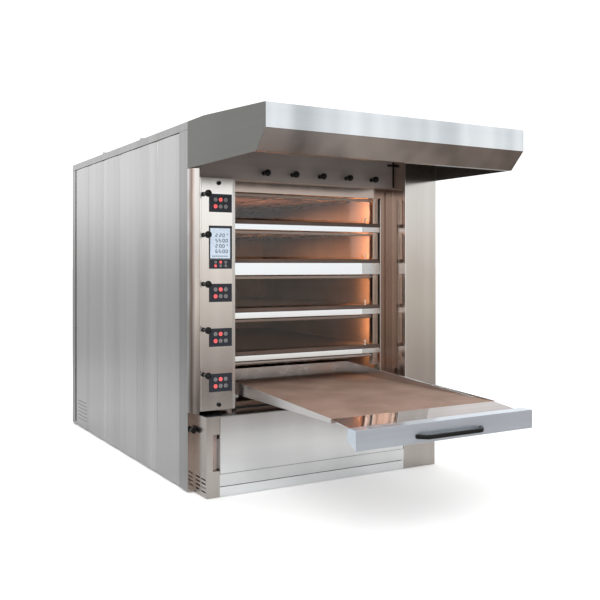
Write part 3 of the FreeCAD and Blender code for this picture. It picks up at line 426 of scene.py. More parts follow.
INNER = steel("column_cheek_sheet", (0.50, 0.40, 0.35), (0.70, 0.59, 0.53), (0.06, 0.13), bands=0.6)
STRIP = steel("nosing_sheet", (0.86, 0.88, 0.89), (0.96, 0.98, 0.99), (0.16, 0.26), grain="x", bands=0.3)
STRIP_DULL = steel("nosing_end_sheet", (0.54, 0.535, 0.53), (0.66, 0.655, 0.65), (0.2, 0.3), grain="x")
# Painted shade: the base sheet is darkened towards its top, below the overhanging drawer.
BASE_SHADED = steel("base_sheet_painted_shade", (0.66, 0.675, 0.68), (0.84, 0.855, 0.86), (0.14, 0.22), grain="x", bands=0.6,
             tone=((0.1, 1.0), (0.3, 0.92), (0.65, 0.74)))
KICK = steel("kick_sheet", (0.80, 0.82, 0.83), (0.94, 0.96, 0.97), (0.14, 0.22), grain="x", bands=0.4)
POST = steel("post_sheet", (0.42, 0.39, 0.365), (0.54, 0.505, 0.475), (0.18, 0.28), bands=0.3)
LINING = steel("grip_sheet", (0.46, 0.36, 0.32), (0.62, 0.50, 0.45), (0.4, 0.5), metallic=0.2)
# Painted shade: the damper sheet is coloured dark taupe for the shade under the hood.
DAMPER_SHADED = steel("damper_sheet", (0.30, 0.26, 0.24), (0.40, 0.355, 0.33), (0.18, 0.28), grain="x", bands=0.3,
               metallic=0.5)
OVEN = steel("oven_sheet", (0.33, 0.205, 0.145), (0.54, 0.37, 0.285), (0.36, 0.50), grain="y", wave=0.03,
             metallic=0.35, bands=0.4)
RAIL = steel("door_rail_steel", (0.24, 0.19, 0.165), (0.36, 0.30, 0.265), (0.22, 0.32), grain="x")
LAMP_BAR = steel("lamp_bar_steel", (0.58, 0.50, 0.45), (0.74, 0.66, 0.60), (0.15, 0.25))
TRAY = steel("tray_sheet", (0.66, 0.64, 0.63), (0.80, 0.78, 0.77), (0.2, 0.3), grain="y", wave=0.3)
RAMP = steel("ramp_sheet", (0.38, 0.34, 0.325), (0.52, 0.47, 0.45), (0.04, 0.09), grain="x", wave=0.05)
PANEL = steel("drawer_front_sheet", (0.55, 0.61, 0.68), (0.70, 0.775, 0.86), (0.20, 0.28), grain="x",
              metallic=0.75, bands=0.4)
FRAME_PAINT = plain("frame_paint", (0.10, 0.11, 0.12), (0.15, 0.16, 0.17), (0.45, 0.6), grit=0.2)
GALVANISED = plain("galvanised_sheet", (0.42, 0.43, 0.44), (0.62, 0.63, 0.64), (0.35, 0.5), 25, 1.0)
ROLLER = plain("roller_steel_finish", (0.55, 0.55, 0.56), (0.68, 0.68, 0.69), (0.2, 0.3), 60, 1.0)
SCREW = plain("screw_steel", (0.66, 0.66, 0.67), (0.80, 0.80, 0.80), (0.15, 0.25), 90, 1.0)
BLACK = plain("black_moulding", (0.006, 0.006, 0.006), (0.012, 0.012, 0.012), (0.26, 0.36), 60,
              grit=0.05, Specular_IOR_Level=0.13)
NYLON = plain("stop_nylon", (0.60, 0.54, 0.49), (0.76, 0.70, 0.65), (0.35, 0.5), 60, grit=0.05)
RUBBER = plain("foot_rubber", (0.02, 0.02, 0.02), (0.035, 0.035, 0.035), (0.6, 0.75), 50, grit=0.4)
SLATE = plain("keypad_membrane", (0.012, 0.015, 0.022), (0.02, 0.024, 0.034), (0.35, 0.45), 70,
              grit=0.08, Specular_IOR_Level=0.35)
KEY_GREY = plain("keypad_ring", (0.20, 0.19, 0.19), (0.30, 0.28, 0.28), (0.4, 0.5), 90)
RED_GLOW = glowing("keypad_red", (0.95, 0.11, 0.11), 0.95)
SCREEN = glowing("display_screen", (0.50, 0.58, 0.68), 0.30, 0.2)
INK = plain("display_digits", (0.03, 0.04, 0.055), (0.05, 0.06, 0.08), (0.4, 0.5), 120)
LAMP = glowing("lamp_lens", (1.0, 0.58, 0.25), 5.0)
MOTOR = plain("motor_paint", (0.05, 0.12, 0.22), (0.07, 0.15, 0.27), (0.35, 0.5), 30, grit=0.25)


def stone(name, shade):
    """Cement hearth: sandy grain, darker flecks and baked patches."""
    material, tree, shader = new_material(name)
    patches = noise(tree, 5.0, 5.0)
    grains = noise(tree, 420.0, 2.0)
    flecks = add_node(tree, "TexVoronoi", {"Vector": add_node(tree, "TexCoord").outputs["Object"],
                                           "Scale": 130.0}).outputs["Distance"]
    mixed = blend_of(tree, blend_of(tree, patches, grains, 0.4), flecks, 0.2)
    tones = ((0.25, (0.15, 0.09, 0.065)), (0.5, (0.33, 0.215, 0.165)), (0.75, (0.48, 0.34, 0.275)))
    colour = ramp(tree, mixed, [(place, [c * shade for c in tone]) for place, tone in tones])
    tree.links.new(colour, shader.inputs["Base Color"])
    tree.links.new(spread(tree, mixed, 0.6, 0.85), shader.inputs["Roughness"])
    bump(tree, shader, mixed, 0.35, 0.001)
    return material


def painted_pillar_reflection():
    """Polished pillar with a painted reflection: across its quarter turn it goes from a painted bright edge through
    painted brown shade to bright.
    """
    material, tree, shader = new_material("pillar_painted_reflection")
    across = add_node(tree, "SeparateXYZ", {"Vector": add_node(tree, "TexCoord").outputs["Normal"]})
    turned = spread(tree, across.outputs["X"], 0, 1, (-1.0, -0.68))
    wobble = blend_of(tree, turned, noise(tree, 1.0, 2.0, (2, 2, 3)), 0.12)
    colour = ramp(tree, wobble, [(0.04, (0.86, 0.85, 0.84)), (0.10, (0.52, 0.47, 0.44)),
                                 (0.24, (0.30, 0.225, 0.19)), (0.36, (0.66, 0.54, 0.48)),
                                 (0.55, (0.95, 0.91, 0.88)), (0.95, (0.80, 0.75, 0.71))])
    # Painted shade: the pillar is darkened towards the floor.
    colour = painted_height_shade(tree, colour, ((0.6, 0.35), (0.9, 0.62), (1.25, 1.0), (2.1, 0.92)))
    tree.links.new(colour, shader.inputs["Base Color"])
    shader.inputs["Metallic"].default_value = 1.0
    tree.links.new(spread(tree, noise(tree, 1.0, 3.0, GRAINS["z"]), 0.10, 0.18), shader.inputs["Roughness"])
    bump(tree, shader, noise(tree, 2.0, 1.0), 0.1, 0.004)
    return material


def mineral_wool():
    material, tree, shader = new_material("mineral_wool")
    fibres = noise(tree, 90.0, 6.0, (1, 6, 1))
    tree.links.new(ramp(tree, fibres, [(0.3, (0.42, 0.36, 0.22)), (0.7, (0.62, 0.55, 0.38))]),
                   shader.inputs["Base Color"])
    shader.inputs["Roughness"].default_value = 0.95
    bump(tree, shader, fibres, 0.8, 0.004)
    return material


def clear_glass(name, tint):
    material, tree, shader = new_material(name)
    film = noise(tree, 6.0, 3.0)
    tree.links.new(ramp(tree, film, [(0.3, tint), (0.7, (0.98, 0.98, 0.98))]), shader.inputs["Base Color"])
    tree.links.new(spread(tree, film, 0.02, 0.05), shader.inputs["Roughness"])
    shader.inputs["Transmission Weight"].default_value = 1.0
    shader.inputs["Specular IOR Level"].default_value = 0.06
    shader.inputs["IOR"].default_value = 1.45
    return material


STONE = stone("hearth_cement", 1.0)
# Painted shade: the hearths inside the chambers use the same cement at 0.3 of its brightness.
HEARTH_SHADED = stone("hearth_cement_painted_shade", 0.3)
PILLAR_REFLECTION = painted_pillar_reflection()
WOOL = mineral_wool()
GLASS = clear_glass("door_glass_pane", (0.93, 0.90, 0.87))

FINISH = {
    "frame_steel": FRAME_PAINT, "clad_steel": CLAD, "bright_steel": BRIGHT, "oven_steel": OVEN,
    "hearth_stone": STONE, "black_plastic": BLACK, "keypad_plastic": SLATE, "display_plastic": SCREEN,
    "door_glass": GLASS, "lamp_glass": LAMP, "roller_steel": ROLLER, "wool": WOOL,
    "machine_paint": MOTOR, "fan_steel": GALVANISED,
}
for node_name, node_object in nodes.items():
    node_object.data.materials.clear()
    node_object.data.materials.append(FINISH[slot_of(node_name)])


# ---------------------------------------------------------------- stage, light and camera

def area_light(name, place, target, size, power, mirrored=False):
    light = bpy.data.lights.new(name, "AREA")
    light.shape = "RECTANGLE"
    light.size, light.size_y = size
    light.energy = power
    lamp = bpy.data.objects.new(name, light)
    bpy.context.scene.collection.objects.link(lamp)
    lamp.location = place
    lamp.rotation_euler = (Vector(target) - Vector(place)).to_track_quat("-Z", "Y").to_euler()
    lamp.visible_glossy = mirrored


def studio_world():
    """Soft surround: white to the eye, and in reflections darker at the horizon and uneven round it."""
    world = bpy.data.worlds.new("studio")
    world.use_nodes = True
    tree = world.node_tree
    tree.nodes.clear()
    way = add_node(tree, "TexCoord").outputs["Generated"]
    parts = add_node(tree, "SeparateXYZ", {"Vector": way})
    height = spread(tree, parts.outputs["Z"], 0, 1, (-0.25, 0.75))
    front = ramp(tree, height, [(0.0, (0.30, 0.27, 0.25)), (0.22, (0.46, 0.41, 0.37)),
                                (0.25, (0.74, 0.68, 0.62)), (0.30, (1.08, 1.08, 1.06)),
                                (0.42, (1.06, 1.10, 1.14)), (1.0, (1.0, 1.0, 1.0))])
    behind = ramp(tree, height, [(0.0, (0.50, 0.50, 0.50)), (0.22, (0.50, 0.50, 0.50)),
                                 (0.265, (0.66, 0.66, 0.66)), (0.33, (1.12, 1.12, 1.12)),
                                 (0.5, (1.1, 1.1, 1.1)), (1.0, (1.0, 1.0, 1.0))])
    facing = add_node(tree, "VectorMath", {0: way, 1: (0.5, -0.86, 0)}, operation="DOT_PRODUCT")
    side = spread(tree, facing.outputs["Value"], 0, 1, (-0.35, 0.35))
    round_it = add_node(tree, "Math", {0: parts.outputs["X"], 1: parts.outputs["Y"]}, operation="ARCTAN2")
    bands = add_node(tree, "TexNoise", {"W": round_it.outputs["Value"], "Scale": 5.0, "Detail": 2.0},
                     noise_dimensions="1D").outputs["Fac"]
    colour = add_node(tree, "Mix", {"Factor": side, "A": behind, "B": front}, data_type="RGBA")
    banded = add_node(tree, "Mix", {"Factor": spread(tree, bands, 0.16, 0.0, (0.38, 0.52)),
                                    "A": colour.outputs["Result"], "B": (0.2, 0.2, 0.2, 1)},
                      data_type="RGBA")
    rays = add_node(tree, "LightPath")
    soft = add_node(tree, "Mix", {"Factor": rays.outputs["Is Glossy Ray"], "A": (0.95, 0.95, 0.95, 1),
                                  "B": banded.outputs["Result"]}, data_type="RGBA")
    seen = add_node(tree, "Mix", {"Factor": rays.outputs["Is Camera Ray"], "A": soft.outputs["Result"],
                                  "B": (1.2, 1.2, 1.2, 1)}, data_type="RGBA")
    surround = add_node(tree, "Background", {"Color": seen.outputs["Result"], "Strength": 1.0})
    output = add_node(tree, "OutputWorld")
    tree.links.new(surround.outputs["Background"], output.inputs["Surface"])
    bpy.context.scene.world = world


FLOOR_LIFT = 0.16


def pale_floor():
    """A plain pale floor that reads white, and duller in the oven's own reflections."""
    bm = bmesh.new()
    bmesh.ops.create_circle(bm, cap_ends=True, segments=96, radius=400)
    mesh = bpy.data.meshes.new("floor")
    bm.to_mesh(mesh)
    bm.free()
    floor = bpy.data.objects.new("floor", mesh)
    bpy.context.scene.collection.objects.link(floor)
    material, tree, shader = new_material("pale_floor")
    where = add_node(tree, "TexCoord").outputs["Object"]
    near = add_node(tree, "VectorMath", {0: where, 1: (0, FRONT, 0)}, operation="DISTANCE").outputs["Value"]
    ahead = ramp(tree, spread(tree, near, 0, 1, (0, 20)),
                 [(0.03, (1.2, 1.2, 1.2)), (0.075, (0.80, 0.79, 0.78)), (0.12, (0.36, 0.33, 0.315)),
                  (0.2, (0.17, 0.145, 0.13)), (0.35, (0.36, 0.31, 0.28)), (1.0, (0.66, 0.60, 0.54))])
    aside = ramp(tree, spread(tree, near, 0, 1, (0, 20)),
                 [(0.1, (0.60, 0.60, 0.60)), (0.25, (0.47, 0.47, 0.47)), (1.0, (0.50, 0.50, 0.50))])
    place = add_node(tree, "SeparateXYZ", {"Vector": where}).outputs
    forward = spread(tree, place["Y"], 1, 0, (FRONT - 1.0, FRONT + 0.5))
    dull = add_node(tree, "Mix", {"Factor": forward, "A": aside, "B": ahead}, data_type="RGBA")
    pale = ramp(tree, noise(tree, 1.5, 3.0), [(0.3, (0.91, 0.91, 0.91)), (0.7, (0.93, 0.93, 0.93))])
    rays = add_node(tree, "LightPath").outputs
    colour = add_node(tree, "Mix", {"Factor": rays["Is Glossy Ray"], "A": pale,
                                    "B": dull.outputs["Result"]}, data_type="RGBA")
    tree.links.new(colour.outputs["Result"], shader.inputs["Base Color"])
    shader.inputs["Emission Color"].default_value = (1, 1, 1, 1)
    tree.links.new(spread(tree, rays["Is Camera Ray"], 0, FLOOR_LIFT, (0, 1)),
                   shader.inputs["Emission Strength"])
    shader.inputs["Roughness"].default_value = 0.9
    mesh.materials.append(material)


def studio_lights():
    middle = Vector((0, 0, TOP / 2))
    area_light("key_softbox", (-3.5, -5.5, 4.5), middle, (4, 3), 140, mirrored=True)
    area_light("fill_softbox", (4.5, -5.0, 3.0), middle, (3, 3), 80)
    area_light("top_softbox", (0, -0.5, 6.5), middle, (5, 5), 160)
    area_light("back_softbox", (-3.0, 5.0, 4.0), middle, (4, 3), 60)


def camera():
    """A level view from the left front corner, at eye height."""
    lens = bpy.data.cameras.new("view")
    lens.lens = 49.81
    lens.shift_y = -0.0578
    eye = bpy.data.objects.new("view", lens)
    eye.location = (-3.0368, -6.39, 1.4754)
    eye.rotation_euler = (math.radians(90), 0, math.radians(-30.34))
    bpy.context.scene.collection.objects.link(eye)
    bpy.context.scene.camera = eye
    bpy.context.scene.view_settings.view_transform = "Standard"


# ---------------------------------------------------------------- cladding

BOW = 4.4 * MM
CASSETTE_EDGE = 5 * MM
LOUVRE_COUNT = 6
LOUVRE_LENGTH = 262 * MM
LOUVRE_HEIGHT = 9 * MM
LOUVRE_PITCH = 32 * MM
LOUVRE_LOW = 80 * MM


def spaced(low, high, edge, inner):
    """Places across a span, close together at its two rounded edges."""
    steps = [0, 0.08, 0.25, 0.5, 1.0]
    near = [low + edge * t for t in steps]
    far = [high - edge * t for t in reversed(steps)]
    middle = [low + edge + (high - low - 2 * edge) * k / inner for k in range(1, inner)]
    return near + middle + far


def edge_fall(distance, edge):
    """How far a rounded edge has fallen away at a distance in from it."""
    if distance >= edge:
        return 0.0
    return edge - math.sqrt(max(edge ** 2 - (edge - distance) ** 2, 0))


def bowed_pan(bm, low, high, outward):
    """A sheet pan whose face bows gently out between rounded edges."""
    face_x, back_x = (low.x, high.x) if outward < 0 else (high.x, low.x)
    ys = spaced(low.y, high.y, CASSETTE_EDGE, 14)
    zs = spaced(low.z, high.z, CASSETTE_EDGE, 6)
    grid = []
    for z in zs:
        row = []
        for y in ys:
            across = (2 * (y - low.y) / (high.y - low.y) - 1) ** 2
            fall = BOW * across
            fall += max(edge_fall(min(y - low.y, high.y - y), CASSETTE_EDGE),
                        edge_fall(min(z - low.z, high.z - z), CASSETTE_EDGE))
            row.append(bm.verts.new((face_x - outward * fall, y, z)))
        grid.append(row)
    for first, second in zip(grid, grid[1:]):
        for k in range(len(first) - 1):
            bm.faces.new([first[k], first[k + 1], second[k + 1], second[k]])
    rim = grid[0] + [row[-1] for row in grid[1:-1]] + list(reversed(grid[-1]))
    rim += [row[0] for row in reversed(grid[1:-1])]
    back = [bm.verts.new((back_x, v.co.y, v.co.z)) for v in rim]
    count = len(rim)
    for k in range(count):
        bm.faces.new([rim[k], rim[(k + 1) % count], back[(k + 1) % count], back[k]])
    bm.faces.new(list(reversed(back)))


def carve(obj, cutter_bm):
    """Cut one mesh out of a piece."""
    bmesh.ops.recalc_face_normals(cutter_bm, faces=cutter_bm.faces)
    mesh = bpy.data.meshes.new("cutter")
    cutter_bm.to_mesh(mesh)
    cutter_bm.free()
    cutter = bpy.data.objects.new("cutter", mesh)
    bpy.context.scene.collection.objects.link(cutter)
    modifier = obj.modifiers.new("carve", "BOOLEAN")
    modifier.operation = "DIFFERENCE"
    modifier.object = cutter
    modifier.solver = "EXACT"
    settle(obj)
    bpy.data.objects.remove(cutter)


def cassettes():
    """Twelve bowed side cassettes, the rearmost ones with pressed air louvres."""
    boxes = solids("side_cassettes")
    rearmost = max(high.y for low, high in boxes)
    for number, (low, high) in enumerate(sorted(boxes, key=lambda b: (b[0].x > 0, b[0].y)), start=1):
        outward = -1 if low.x < 0 else 1
        bm = bmesh.new()
        bowed_pan(bm, low, high, outward)
        made = piece(f"cassette_{number}", bm, CLAD, "oven", "side_cassettes")
        if high.y > rearmost - MM:
            louvres(made, low, high, outward, number)


def side_trims():
    """Cover strips round each side: a wide front one, a rear one and the top rail, with open joints."""
    source = clean_copy("corner_trim")
    bm = bmesh.new()
    for lump in islands(source):
        low, high = extent(v.co for v in lump)
        across = sorted({round(v.co.y, 4) for v in lump})
        up = sorted({round(v.co.z, 4) for v in lump})
        joint = 0.4 * MM
        for y0, y1, z0, z1 in ((across[0], across[1], up[0], up[-2] - joint),
                               (across[-2], across[-1], up[0], up[-2] - joint),
                               (across[0], across[-1], up[-2] + joint, up[-1])):
            add_block(bm, (low.x, y0, z0), (high.x, y1, z1), 0.9 * MM, 3)
    source.free()
    piece("side_trims", bm, TRIM, "oven", "corner_trim")


def louvres(panel, low, high, outward, number):
    middle = (low.y + high.y) / 2 - 20 * MM
    start, end = middle - LOUVRE_LENGTH / 2, middle + LOUVRE_LENGTH / 2
    slots = bmesh.new()
    blades = bmesh.new()
    face = low.x if outward < 0 else high.x
    for k in range(LOUVRE_COUNT):
        bottom = low.z + LOUVRE_LOW - 14 * MM + k * LOUVRE_PITCH
        xs = sorted((face + outward * 2 * MM, face - outward * 11 * MM))
        add_block(slots, (xs[0], start, bottom), (xs[1], end, bottom + LOUVRE_HEIGHT))
        line = [(face - outward * 10 * MM, bottom - 3 * MM), (face - outward * 4 * MM, bottom + 4 * MM),
                (face - outward * 0.4 * MM, bottom + LOUVRE_HEIGHT + 4 * MM)]
        add_blade(blades, line, (start - 3 * MM, end + 3 * MM), 1.2 * MM)
    carve(panel, slots)
    piece(f"louvre_blades_{number}", blades, CLAD, "oven")


def add_blade(bm, line, span, thickness):
    """A bent strip along y through (x, z) points."""
    rings = []
    for y in span:
        front = [bm.verts.new((x, y, z)) for x, z in line]
        back = [bm.verts.new((x, y, z - thickness)) for x, z in reversed(line)]
        rings.append(front + back)
    count = len(rings[0])
    for k in range(count):
        bm.faces.new([rings[0][k], rings[0][(k + 1) % count], rings[1][(k + 1) % count], rings[1][k]])
    half = len(line)
    for k in range(half - 1):
        for ring in rings:
            bm.faces.new([ring[k], ring[k + 1], ring[count - 2 - k], ring[count - 1 - k]])


def add_screw(bm, place, axis, radius=4.5 * MM, height=2.2 * MM):
    """A low domed screw head with a socket in it."""
    profile = [(radius, 0), (radius * 0.96, height * 0.45), (radius * 0.75, height * 0.85),
               (radius * 0.45, height), (radius * 0.4, height * 0.4), (0, height * 0.35)]
    add_lathe(bm, profile, place, axis, 20)


def thirds(low, high):
    """The span split into three equal sheets."""
    step = (high - low) / 3
    return [(low + step * k, low + step * (k + 1)) for k in range(3)]


def roof():
    """Three roof sheets joined by standing seams, and the rear sheets with their strips and screws."""
    low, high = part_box("roof_panels")
    bm = clean_copy("roof_panels")
    round_edges(bm, 0.6 * MM)
    for seam, _ in thirds(low.y, high.y)[1:]:
        add_block(bm, (low.x + 4 * MM, seam - 5 * MM, high.z - 0.5 * MM),
                  (high.x - 4 * MM, seam + 5 * MM, high.z + 18 * MM), 2 * MM)
    piece("roof_sheets", bm, ROOF, "oven", "roof_panels")

    low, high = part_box("rear_panels")
    face = high.y - 1.9 * MM
    sheets, strips, screws = bmesh.new(), bmesh.new(), bmesh.new()
    for x0, x1 in thirds(low.x, high.x):
        add_block(sheets, (x0 + 1.5 * MM, face - 1.6 * MM, low.z + MM), (x1 - 1.5 * MM, face, high.z - MM), 0.4 * MM)
    edges = [x0 for x0, _ in thirds(low.x, high.x)] + [high.x]
    for x in edges:
        x0, x1 = max(x - 26 * MM, low.x), min(x + 26 * MM, high.x)
        add_block(strips, (x0, face - 0.1 * MM, low.z + 3 * MM), (x1, face + MM, high.z - 3 * MM), 0.5 * MM)
        for place in {max(x - 16 * MM, low.x + 10 * MM), min(x + 16 * MM, high.x - 10 * MM)}:
            for k in range(9):
                z = low.z + 60 * MM + (high.z - low.z - 120 * MM) * k / 8
                add_screw(screws, (place, face + 0.9 * MM, z), (0, 1, 0), 5 * MM, 0.95 * MM)
    for z in (low.z + 3 * MM, high.z - 53 * MM):
        for x0, x1 in thirds(low.x, high.x):
            add_block(strips, (x0 + 28 * MM, face - 0.1 * MM, z), (x1 - 28 * MM, face + MM, z + 50 * MM), 0.5 * MM)
    piece("rear_sheets", sheets, CLAD, "oven", "rear_panels")
    piece("rear_joint_strips", strips, TRIM, "oven")
    piece("rear_screws", screws, SCREW, "oven")

    bm = bmesh.new()
    for x, sign in ((LEFT, -1), (RIGHT, 1)):
        for low, high in solids("corner_trim"):
            if (low.x < 0) == (sign < 0) and high.z - low.z > 1:
                for z in (low.z + 40 * MM, (low.z + high.z) / 2, high.z - 60 * MM):
                    place = (x - sign * 1.0 * MM, (low.y + high.y) / 2, z)
                    add_screw(bm, place, (sign, 0, 0), 4 * MM, 0.95 * MM)
    piece("trim_screws", bm, SCREW, "oven")


# ---------------------------------------------------------------- hood

HOOD_LEVEL = 259 * MM
HOOD_FALL = 51 * MM
HOOD_FACE = 139 * MM
HOOD_CHAMFER = 108 * MM
HOOD_LIP = 40 * MM
HOOD_SHEET = 2 * MM


def hood():
    """The vapour hood: one folded sheet between two flanged ends."""
    low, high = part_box("hood_panels")
    span = (low.x + HOOD_SHEET, high.x - HOOD_SHEET)
    crown = (high.y - HOOD_LEVEL, high.z)
    brow = (low.y, high.z - HOOD_FALL)
    chin = (low.y, high.z - HOOD_FALL - HOOD_FACE)
    heel = (low.y + HOOD_CHAMFER, low.z)
    lip = (low.y + HOOD_CHAMFER + HOOD_LIP, low.z)
    top_line = [(high.y, high.z), crown, brow, chin, heel, lip, (lip[0], lip[1] + 12 * MM)]
    bm = bmesh.new()
    add_folded(bm, top_line, HOOD_SHEET, span, 5 * MM)
    # Faces that point downwards get the painted shade copy of the hood steel.
    shell = piece("hood_skin", bm, HOOD, "oven", "hood_panels", smooth=28,
                  second=(HOOD_UNDERSIDE_SHADE, lambda face: face.normal.z < -0.25))
    shell.data.materials.append(ROOF)
    for face in shell.data.polygons:
        if face.normal.z > 0.9:
            face.material_index = 2
    hole = bmesh.new()
    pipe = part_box("duct_collars")
    radius = 98 * MM
    centre = Vector(((low.x + high.x) / 2, pipe[0].y + 100 * MM, high.z - 20 * MM))
    add_lathe(hole, [(radius, 0), (radius, 40 * MM)], centre, (0, 0, 1), 48)
    carve(shell, hole)

    outline = [(high.y, high.z), crown, brow, chin, heel, (high.y, low.z)]
    for name, x in (("hood_end_left", low.x), ("hood_end_right", high.x - HOOD_SHEET)):
        bm = bmesh.new()
        add_plate(bm, rounded_corners([Vector(p) for p in outline], 4 * MM, closed=True),
                  (x, x + HOOD_SHEET))
        round_edges(bm, 0.5 * MM, angle=60)
        inner = x + HOOD_SHEET if x < 0 else x - 12 * MM
        for (y0, z0), (y1, z1) in zip(outline[2:4], outline[3:5]):
            line = [(y0 + 3 * MM, z0), (y1 + 3 * MM, z1)]
            add_folded(bm, line, 1.5 * MM, (inner, inner + 12 * MM))
        piece(name, bm, HOOD_END, "oven", "hood_panels")
        bead = bmesh.new()
        inwards = 1.6 * MM if x < 0 else HOOD_SHEET - 1.6 * MM
        path = [(x + inwards, y + 1.7 * MM, z) for y, z in outline[2:5]]
        path = [(px, y, z + 1.8 * MM * (i == 2)) for i, (px, y, z) in enumerate(path)]
        circle = [(1.6 * MM * math.cos(k * math.pi / 5), 1.6 * MM * math.sin(k * math.pi / 5)) for k in range(10)]
        add_sweep(bead, path, circle, Vector((1, 0, 0)))
        piece(f"{name}_bead", bead, STRIP, "oven")


def add_plate(bm, outline, span):
    """A flat plate in the YZ plane between two x places."""
    ends = [[bm.verts.new((x, p.x, p.y)) for p in outline] for x in span]
    count = len(outline)
    for k in range(count):
        bm.faces.new([ends[0][k], ends[0][(k + 1) % count], ends[1][(k + 1) % count], ends[1][k]])
    bm.faces.new(list(reversed(ends[0])))
    bm.faces.new(ends[1])


def collars():
    """Spigots on the roof with a rolled bead."""
    bm = bmesh.new()
    for low, high in solids("duct_collars"):
        radius = (high.x - low.x) / 2
        height = high.z - low.z
        wall = 2 * MM
        profile = [(radius - wall, 0), (radius, 0)]
        profile += [(radius - wall * 0.2, height * 0.55), (radius, height * 0.62), (radius - wall * 0.2, height * 0.7)]
        profile += [(radius - wall * 0.3, height - MM), (radius - wall * 0.6, height), (radius - wall, height - MM)]
        profile += [(radius - wall, 0)]
        centre = ((low.x + high.x) / 2, (low.y + high.y) / 2, low.z)
        add_ring(bm, profile[:-1], centre, 72)
    piece("duct_spigots", bm, GALVANISED, "oven", "duct_collars")


def add_ring(bm, profile, centre, steps, axis="z"):
    """A closed (radius, along) outline turned all the way round."""
    rings = []
    for k in range(steps):
        turn = 2 * math.pi * k / steps
        ring = []
        for radius, along in profile:
            if axis == "z":
                spot = Vector((radius * math.cos(turn), radius * math.sin(turn), along))
            elif axis == "y":
                spot = Vector((radius * math.cos(turn), along, radius * math.sin(turn)))
            else:
                spot = Vector((along, radius * math.cos(turn), radius * math.sin(turn)))
            ring.append(bm.verts.new(Vector(centre) + spot))
        rings.append(ring)
    count = len(profile)
    for k in range(steps):
        for i in range(count):
            first, second = rings[k], rings[(k + 1) % steps]
            bm.faces.new([first[i], first[(i + 1) % count], second[(i + 1) % count], second[i]])


# ---------------------------------------------------------------- front columns

def add_channel(bm, line, thickness, heights, radius=4 * MM):
    """Sheet folded along (x, y) points, from one height to another."""
    line = rounded_corners([Vector(p) for p in line], radius, 6)
    inner = []
    for i, point in enumerate(line):
        along = (line[min(i + 1, len(line) - 1)] - line[max(i - 1, 0)]).normalized()
        inner.append(point + Vector((-along.y, along.x)) * thickness)
    ends = [[bm.verts.new((p.x, p.y, z)) for p in line + list(reversed(inner))] for z in heights]
    count = len(ends[0])
    half = len(line)
    for k in range(count):
        bm.faces.new([ends[0][k], ends[0][(k + 1) % count], ends[1][(k + 1) % count], ends[1][k]])
    for k in range(half - 1):
        bm.faces.new([ends[0][k + 1], ends[0][k], ends[0][count - 1 - k], ends[0][count - 2 - k]])
        bm.faces.new([ends[1][k], ends[1][k + 1], ends[1][count - 2 - k], ends[1][count - 1 - k]])


